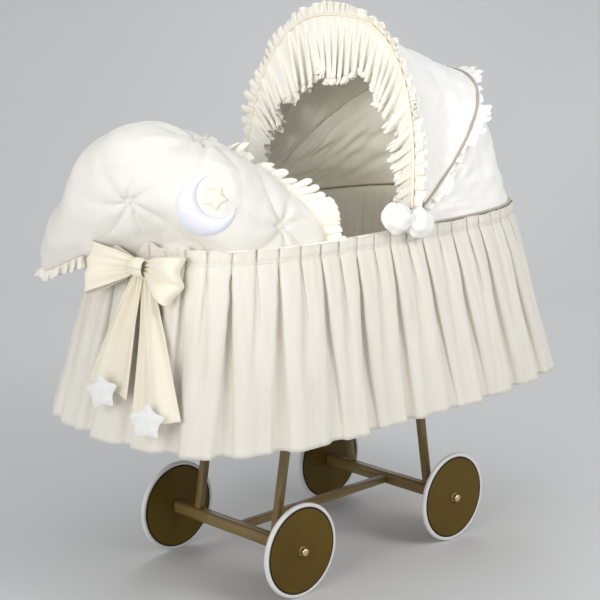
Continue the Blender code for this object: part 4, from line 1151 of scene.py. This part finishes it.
# %% Bow loops
def bow_loop(name, sign, reach, high, low, droop, open_out, lean_out, seed):
    """A loop that runs out from the knot and back to it: sign is its side, high and low are how far
    it opens up and down, and open_out is how far its two layers part."""
    rows = []
    for i in range(72):
        s = i / 71
        out_share = math.sin(math.pi * s) ** 0.85 if 0 < s < 1 else 0.0
        row = []
        for j in range(33):
            w = j / 16 - 1
            top = 0.012 + (high - 0.012) * out_share ** 0.8
            bottom = 0.012 + (low - 0.012) * out_share ** 0.8
            rise = (w * top if w > 0 else w * bottom)
            length = reach * (1 - 0.10 * (w * 0.9) ** 2 + 0.05 * math.sin(w * 5 + seed))
            y = KNOT_Y + sign * (0.013 + length * out_share)
            z = KNOT_Z + rise - droop * out_share ** 1.5
            gather = math.exp(-out_share * 2.6)
            fold = 0.0042 * gather * math.sin(w * 12 + seed) + 0.0042 * out_share * math.sin(
                w * 4.4 + seed * 2 + s * 3)
            dent = 0.013 * math.exp(-((w + 0.12) / 0.17) ** 2) * out_share ** 0.6 * (0.45 + gather)
            layer = open_out * math.sin(2 * math.pi * s) * (0.4 + 0.6 * out_share)
            row.append(on_skirt(y, z, 0.030 + lean_out * out_share + layer + fold - dent))
        rows.append(row)
    return cloth(name, rows, CREAM, 0.0018)


left_loop = bow_loop("bow_left_ribbon", 1, 0.098, 0.046, 0.058, 0.006, 0.020, 0.030, 1.0)
right_loop = bow_loop("bow_right_ribbon", -1, 0.072, 0.048, 0.042, 0.020, 0.024, 0.004, 2.4)
for piece, node in ((left_loop, "bow_left_loop"), (right_loop, "bow_right_loop")):
    dress(piece, "root", "ribbon", node)
    cut_sheet(piece, 0.09, ["bow_knot_band"])


# %% Bow tails
def bow_tail(name, neck_y, corner_low, corner_high, lift, seed):
    """A tail from the knot to its end's two corners, each across and down from the skirt's top."""
    rows = []
    top = KNOT_Z - 0.010
    for i in range(60):
        t = i / 59
        row = []
        for j in range(30):
            w = j / 29
            y_end = corner_low[0] + (corner_high[0] - corner_low[0]) * w
            z_end = SKIRT_TOP - (corner_low[1] + (corner_high[1] - corner_low[1]) * w)
            y_start = neck_y + (w - 0.5) * 0.024
            y = y_start + (y_end - y_start) * t ** 0.9
            z = top + (z_end - top) * t
            gather = 0.0065 * math.exp(-t * 2.6) * math.sin(w * 19 + seed)
            fold = 0.0085 * math.sin(w * 8.0 + seed * 1.7 + t * 1.2)
            fold *= min(1, t * 2.5) * (1 - 0.35 * t)
            row.append(on_skirt(y, z, lift + 0.006 * t + gather + fold))
        rows.append(row)
    return cloth(name, rows, CREAM, 0.0016)


left_tail = bow_tail("bow_left_streamer", -0.046, (-0.078, 0.278), (0.052, 0.264), 0.021, 0.6)
right_tail = bow_tail("bow_right_streamer", -0.064, (-0.186, 0.303), (-0.098, 0.323), 0.022, 2.1)
for piece, node in ((left_tail, "bow_left_tail"), (right_tail, "bow_right_tail")):
    dress(piece, "root", "ribbon", node)
    cut_sheet(piece, 0.09, ["bow_knot_band"])

# %% [markdown]
# The knot is a short piece of the same ribbon pulled tight round the loops, so it is a cushion with
# folds across it. Each star on the tails is two layers of white cotton with a little filling.

# %% Knot and stars
centre = on_skirt(KNOT_Y, KNOT_Z, 0.034)
rows = []
for i in range(29):
    turn = 2 * math.pi * i / 28
    row = []
    for j in range(17):
        w = j / 8 - 1
        swell_by = 1 + 0.12 * math.cos(math.pi * w) + 0.07 * math.sin(w * 9 + turn * 2)
        row.append(centre + Vector((-0.0125 * math.cos(turn) * swell_by, 0.0180 * w,
                                    (0.0165 + 0.002 * w * w) * math.sin(turn) * swell_by)))
    rows.append(row)
knot_band = dress(cloth("bow_knot_band", rows, CREAM, 0.0022), "root", "ribbon", "bow_knot")
cut_sheet(knot_band, 0.03, [left_loop, right_loop])
for name, node, y, drop, turn in (("left_star_padded", "left_star", -0.030, 0.270, 0.15),
                                  ("right_star_padded", "right_star", -0.142, 0.305, -0.05)):
    spot = on_skirt(y, SKIRT_TOP - drop, 0.052)
    out = (on_skirt(y, SKIRT_TOP - drop, 1.0) - spot).normalized() + Vector((0, -0.42, 0))
    out.normalize()
    level = Vector((0, 0, 1)).cross(out).normalized()
    upright = out.cross(level)
    right = level * math.cos(turn) + upright * math.sin(turn)
    up = upright * math.cos(turn) - level * math.sin(turn)
    piece = padded_shape(name, star_outline(0.040, 0.0225), spot, right, up, 0.0055, PLUSH)
    dress(piece, "root", "white_cotton", node)
print("bow tied")


# %% [markdown]
# ## Small bows at the hinges
# A stuffed tube of cotton is tied tight at its middle, which makes two round lobes with gathers that
# run into the tie. Rings of points along the tube give the lobes, and a wave round each ring that
# fades away from the middle gives the gathers.

# %% Hinge bows
def hinge_bow(low, high):
    """Rings of points along a stuffed tube that fills the box between two corners."""
    middle, length = (low + high) / 2, high.x - low.x
    along = Vector((1, 0, -0.27)).normalized()
    up = Vector((0.27, 0, 1)).normalized()
    level = Vector((0, 1, 0))
    rows = []
    for i in range(65):
        s = i / 64 * 2 - 1
        a = abs(s)
        size = max(0.03, math.sin(math.pi * min(1, a) ** 0.86) ** 0.48 if 0 < a < 1 else 0.0)
        size = max(size, 0.30 if a < 0.12 else 0.03)
        row = []
        for j in range(48):
            turn = 2 * math.pi * j / 48
            wave = 7 * turn + (1.1 if s > 0 else 0) + noise.noise(Vector((turn, s * 3, 1)))
            gather = 0.17 * math.exp(-max(0, a - 0.10) * 3.6) * math.sin(wave)
            rough = noise.noise(Vector((s * 3.1, math.cos(turn) * 1.5, math.sin(turn) * 1.5)))
            r = size * (1 + gather + 0.16 * rough)
            row.append(middle + along * s * length * 0.47 + up * r * 0.0305 * math.sin(turn)
                       + level * r * (high.y - low.y) * 0.47 * math.cos(turn))
        rows.append(row)
    return rows


def closed_tube(name, rows, material):
    """A piece from rings of points, closed by a face at each end."""
    count, wide = len(rows), len(rows[0])
    faces = [(i * wide + j, i * wide + (j + 1) % wide, (i + 1) * wide + (j + 1) % wide,
              (i + 1) * wide + j) for i in range(count - 1) for j in range(wide)]
    faces += [tuple(range(wide)), tuple(reversed(range((count - 1) * wide, count * wide)))]
    return face_outwards(from_points(name, rows, faces, material))


for side in ("near", "far"):
    low, high = corners_of(side + "_hood_bow")
    bow = closed_tube(side + "_hinge_bow", hinge_bow(low, high), WHITE_PAD)
    dress(bow, "root", "white_cotton", side + "_hood_bow")
    rows = []
    for w in np.linspace(-1, 1, 9):
        rows.append([(low + high) / 2 + Vector((
            w * 0.0075 + 0.27 * 0.012 * math.sin(t),
            0.0125 * math.cos(t) * (1 - 0.15 * w * w),
            0.0125 * math.sin(t) - 0.27 * w * 0.0075)) for t in np.linspace(0, 2 * math.pi, 33)[:-1]])
    tie = cloth(side + "_hinge_bow_tie", rows, WHITE, 0.0022, ring=True)
    cut_sheet(dress(tie, "root", "white_cotton"), 0.016, [bow.name])
print("hinge bows tied")

# %% [markdown]
# ## The wicker basket
# The basket is woven: weavers pass in front of one upright stake and behind the next. Over the
# basket's tapered oval, a wave that changes sign from row to row gives that over and under.

# %% Woven basket wall
basket_low, basket_high = corners_of("basket_shell")
top_half = np.array((basket_high.x, basket_high.y)) - 0.004
STAKES, WEAVERS = 92, 36
turns, _ = even_turns(top_half, STAKES * 3 + 1)
rows = []
levels = np.linspace(basket_high.z - 0.001, basket_low.z + 0.001, WEAVERS * 2 + 1)
for i, z in enumerate(levels):
    down = (RIM_LEVEL - z) / (RIM_LEVEL - basket_low.z)
    half = (RIM.x - 0.048 * down - 0.010, RIM.y - 0.034 * down - 0.010)
    row = []
    for j, turn in enumerate(turns[:-1]):
        over = math.cos(math.pi * j / 3 + math.pi * (i // 2)) * (0.0022 if i % 2 else 0.0006)
        point = oval(turn, half, z)
        row.append(point + oval_out(point, half) * (over + 0.001))
    rows.append(row)
basket = cloth("woven_basket", rows, CANE, 0.0042, ring=True)
dress(basket, "root", "wicker", "basket_shell")
print("basket woven with", STAKES, "stakes")

# %% [markdown]
# ## The wheels
# A wheel is a plywood disc with a solid rubber tyre in its rim, held on its pin by a washer and a
# domed cap nut. Each is turned on a lathe or moulded, so it is modelled once by inset, bevel and
# spin, and then copied to its four places.

# %% Read the wheels' sizes
def middle_of(node):
    """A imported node's middle and its size along each axis."""
    low, high = corners_of(node)
    return (low + high) / 2, high - low


hub, disc_size = middle_of("foot_near_wheel_disc")
_, tyre_size = middle_of("foot_near_tyre")
washer_place, washer_size = middle_of("foot_near_hub_washer")
nut_place, nut_size = middle_of("foot_near_cap_nut")
DISC_RADIUS, TYRE_RADIUS = disc_size.x / 2, tyre_size.x / 2
print("wheel", round(TYRE_RADIUS * 2, 4), "disc", round(DISC_RADIUS * 2, 4))


def choose_faces(piece, test):
    """In edit mode, selects the faces for which the test of centre and normal holds."""
    shape = bmesh.from_edit_mesh(piece.data)
    for face in shape.faces:
        face.select = bool(test(face.calc_center_median(), face.normal))
    shape.select_flush_mode()
    bmesh.update_edit_mesh(piece.data)


def choose_edges(piece, test):
    bpy.ops.mesh.select_mode(type="EDGE")
    shape = bmesh.from_edit_mesh(piece.data)
    for edge in shape.edges:
        edge.select = bool(test(edge))
    shape.select_flush_mode()
    bmesh.update_edit_mesh(piece.data)


# %% Wheel disc
loose_start()
bpy.ops.mesh.primitive_cylinder_add(vertices=96, radius=DISC_RADIUS, depth=disc_size.y,
                                    location=hub, rotation=(math.pi / 2, 0, 0))
disc = bpy.context.object
bpy.ops.object.transform_apply(location=True, rotation=True)
bpy.ops.object.mode_set(mode="EDIT")
bpy.ops.mesh.select_mode(type="FACE")
choose_faces(disc, lambda centre, normal: abs(normal.y) > 0.9)
for inset in (0.0022, 0.0007, 0.0300, 0.0300, 0.0180):
    bpy.ops.mesh.inset(thickness=inset)


def from_axle(v):
    return math.hypot(v.co.x - hub.x, v.co.z - hub.z)


choose_edges(disc, lambda e: all(abs(from_axle(v) - DISC_RADIUS) < 1e-5 for v in e.verts)
             and abs(e.verts[0].co.y - e.verts[1].co.y) < 1e-6)
bpy.ops.mesh.bevel(offset=0.0009, segments=2, affect="EDGES")
bpy.ops.object.mode_set(mode="OBJECT")
bpy.ops.object.shade_smooth_by_angle(angle=math.radians(35))
disc.data.materials.append(DISC)
from_hub = disc.data.attributes.new("from_hub", "FLOAT", "POINT")
from_hub.data.foreach_set("value", [from_axle(v) / DISC_RADIUS for v in disc.data.vertices])

# %% Tyre
loose_start()
bpy.ops.mesh.primitive_circle_add(vertices=28, radius=1.0, location=(0, 0, 0),
                                  rotation=(0, math.pi / 2, 0))
tyre = bpy.context.object
bpy.ops.object.transform_apply(rotation=True)
tyre_depth = TYRE_RADIUS - DISC_RADIUS
for v in tyre.data.vertices:
    y, z = v.co.y, v.co.z
    power = 2.0 if z > 0 else 6.0
    z = math.copysign(abs(z) ** (2 / power), z)
    v.co = Vector((hub.x, hub.y + math.copysign(abs(y) ** 0.8, y) * tyre_size.y / 2,
                   hub.z + DISC_RADIUS + tyre_depth / 2 + z * tyre_depth / 2))
edit_all()
bpy.ops.mesh.spin(steps=96, angle=2 * math.pi, center=hub, axis=(0, 1, 0))
bpy.ops.mesh.select_all(action="SELECT")
bpy.ops.mesh.remove_doubles(threshold=MERGE)
bpy.ops.mesh.normals_make_consistent(inside=False)
bpy.ops.object.mode_set(mode="OBJECT")
bpy.ops.object.shade_smooth()
tyre.data.materials.append(RUBBER)


# %% Washer and domed cap nut
def turned_cap(name, place, size, dome, material):
    """A cylinder whose outer face is drawn up into a dome by extruding smaller and smaller rings."""
    loose_start()
    bpy.ops.mesh.primitive_cylinder_add(vertices=32, radius=size.x / 2, depth=size.y,
                                        location=place, rotation=(math.pi / 2, 0, 0))
    piece = bpy.context.object
    piece.name = name
    bpy.ops.object.transform_apply(location=True, rotation=True)
    bpy.ops.object.mode_set(mode="EDIT")
    bpy.ops.mesh.select_mode(type="FACE")
    choose_faces(piece, lambda centre, normal: normal.y < -0.9)
    if dome:
        bpy.ops.transform.translate(value=(0, dome, 0))
        for k in range(6):
            a, b = math.pi / 2 * k / 6, math.pi / 2 * (k + 1) / 6
            bpy.ops.mesh.extrude_region_move(TRANSFORM_OT_translate={
                "value": (0, -dome * (math.sin(b) - math.sin(a)), 0)})
            shrink = max(math.cos(b), 0.12) / math.cos(a)
            bpy.ops.transform.resize(value=(shrink, 1, shrink), center_override=tuple(place))
    else:
        bpy.ops.mesh.inset(thickness=size.x * 0.06)
        bpy.ops.transform.translate(value=(0, -0.0003, 0))
    bpy.ops.object.mode_set(mode="OBJECT")
    bpy.ops.object.shade_smooth_by_angle(angle=math.radians(40))
    piece.data.materials.append(material)
    return piece


washer = turned_cap("washer", washer_place, washer_size, 0.0, STEEL)
nut = turned_cap("cap_nut", nut_place, nut_size, 0.004, BRASS)


# %% Copy the wheel to its four places
def copy_to(source, name, shift, turned):
    """A copy with its own mesh, moved, and turned to face the far side if wanted."""
    mesh = source.data.copy()
    piece = bpy.data.objects.new(name, mesh)
    bpy.context.collection.objects.link(piece)
    spot = Matrix.Translation(hub)
    place = Matrix.Translation(shift)
    if turned:
        place = place @ spot @ Matrix.Rotation(math.pi, 4, "Z") @ spot.inverted()
    mesh.transform(place)
    return piece


for end in ("foot", "head"):
    for side in ("near", "far"):
        corner = f"{end}_{side}"
        there, _ = middle_of(corner + "_wheel_disc")
        shift, turned = there - hub, side == "far"
        for source, node, body, slot_name in (
                (disc, "wheel_disc", corner + "_wheel", "wheel_disc"),
                (tyre, "tyre", corner + "_wheel", "tyre"),
                (washer, "hub_washer", None, "steel"), (nut, "cap_nut", None, "brass")):
            node = f"{corner}_{node}"
            body = body or frame_body(node)
            dress(copy_to(source, node + "_made", shift, turned), body, slot_name, node)
for source in (disc, tyre, washer, nut):
    bpy.data.objects.remove(source)
print("wheels fitted")

# %% [markdown]
# ## The wooden stand and the small hardware
# The bars are planed beech with rounded edges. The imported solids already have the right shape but
# flat facets, so each is copied, its loose triangles are merged, its flat faces joined and its sharp
# edges given a small bevel that catches the light.

# %% Refine the bars and the fittings
def refined(node, material, slot_name, bevel, angle=35):
    """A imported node's shape with joined flat faces, rounded edges and its finish."""
    piece = merged_copy(node + "_made", node)
    edit_all()
    bpy.ops.mesh.dissolve_limited(angle_limit=math.radians(1.0))
    bpy.ops.object.mode_set(mode="OBJECT")
    if bevel:
        soft = piece.modifiers.new("soft", "BEVEL")
        soft.width, soft.segments, soft.limit_method = bevel, 2, "ANGLE"
        soft.angle_limit = math.radians(40)
        bpy.ops.object.modifier_apply(modifier="soft")
    bpy.ops.object.shade_smooth_by_angle(angle=math.radians(angle))
    piece.data.materials.append(material)
    return dress(piece, frame_body(node), slot_name, node)


bars = {"foot_axle_beam": "Y", "head_axle_beam": "Y", "stretcher": "X", "near_side_rail": "X",
        "far_side_rail": "X", "foot_cross_rail": "Y", "head_cross_rail": "Y", "base_board": "X"}
bars.update({f"{end}_{side}_leg": "Z" for end in ("foot", "head") for side in ("near", "far")})
for node, direction in bars.items():
    refined(node, WOOD[direction], "wood", 0.0012)
for node in sorted(frame["nodes"]):
    if node.endswith(("axle_pin", "basket_bolt", "pivot_pin", "bracket")):
        refined(node, STEEL, "steel", 0.0003)
refined("basket_rim", CANE, "wicker", 0.0, angle=80)
for hoop in ("hood_front_hoop", "hood_rear_hoop"):
    refined(hoop, STEEL, "steel", 0.0, angle=80)
print("stand finished")

# %% [markdown]
# ## Camera, floor and light
# The stand is seen from its foot's near corner, from a little above the hood's rim. A long lens keeps
# the upright lines nearly parallel. The floor runs up into a pale wall, and large soft lights stand
# for a studio's diffusers.

# %% Camera
camera = bpy.data.objects.new("camera", bpy.data.cameras.new("camera"))
bpy.context.collection.objects.link(camera)
camera.location = (-2.51376, -2.50653, 1.34237)
camera.rotation_euler = (math.radians(77.51), 0.0, math.radians(-44.52))
camera.data.lens, camera.data.sensor_width = 101.01, 36.0
camera.data.clip_end = 60
bpy.context.scene.camera = camera


# %% Floor, wall and lights
def backdrop():
    shop = Shop("pale_backdrop")
    cloud = shop.noise(shop.place(), 1.2, 2.0)
    shop.set(Base_Color=shop.blend(cloud, (0.62, 0.62, 0.62), (0.66, 0.66, 0.66)), Roughness=0.9)
    rows = []
    for y in (-7.0, 7.0):
        profile = [(-6.0, 0.0), (2.6, 0.0)]           # floor, then a curve of radius 1.6 m
        profile += [(2.6 + 1.6 * math.sin(a), 1.6 - 1.6 * math.cos(a))
                    for a in np.linspace(0.1, math.pi / 2, 14)]
        profile += [(4.2, 6.0)]
        rows.append([(x, y, z) for x, z in profile])
    mesh = bpy.data.meshes.new("backdrop")
    count = len(rows[0])
    mesh.from_pydata([p for row in rows for p in row], [],
                     [(i, i + 1, count + i + 1, count + i) for i in range(count - 1)])
    mesh.materials.append(shop.material)
    mesh.polygons.foreach_set("use_smooth", [True] * (count - 1))
    made = bpy.data.objects.new("backdrop", mesh)
    bpy.context.collection.objects.link(made)
    mesh.transform(Matrix.Rotation(math.radians(45), 4, "Z"))
    return made


backdrop()
world = bpy.data.worlds.new("studio")
world.use_nodes = True
world.node_tree.nodes["Background"].inputs["Color"].default_value = (0.93, 0.96, 1.0, 1)
world.node_tree.nodes["Background"].inputs["Strength"].default_value = 0.60
bpy.context.scene.world = world


def softbox(name, place, aim, size, power, colour=(1, 1, 1)):
    light = bpy.data.objects.new(name, bpy.data.lights.new(name, "AREA"))
    light.data.shape, light.data.size, light.data.energy = "SQUARE", size, power
    light.data.color = colour
    light.location = place
    light.rotation_euler = (Vector(aim) - Vector(place)).to_track_quat("-Z", "Y").to_euler()
    bpy.context.collection.objects.link(light)


softbox("key", (0.5, -3.3, 2.7), (0.1, 0, 0.7), 1.9, 62, (1.0, 0.985, 0.96))
softbox("left", (-3.4, -0.7, 1.5), (0.2, 0, 0.9), 2.0, 44, (1.0, 0.99, 0.97))
softbox("back", (2.6, 2.4, 3.0), (0, 0, 0.8), 1.6, 30)
snoot = bpy.data.objects.new("snoot", bpy.data.lights.new("snoot", "SPOT"))
snoot.data.energy, snoot.data.spot_size, snoot.data.spot_blend = 225, math.radians(15), 0.7
snoot.data.shadow_soft_size = 0.35
snoot.location = (-2.7, -1.1, 1.5)
snoot.rotation_euler = (Vector((0.33, 0, 0.93)) - snoot.location).to_track_quat("-Z", "Y").to_euler()
bpy.context.collection.objects.link(snoot)
bpy.context.scene.view_settings.view_transform = "Standard"
print("studio ready")
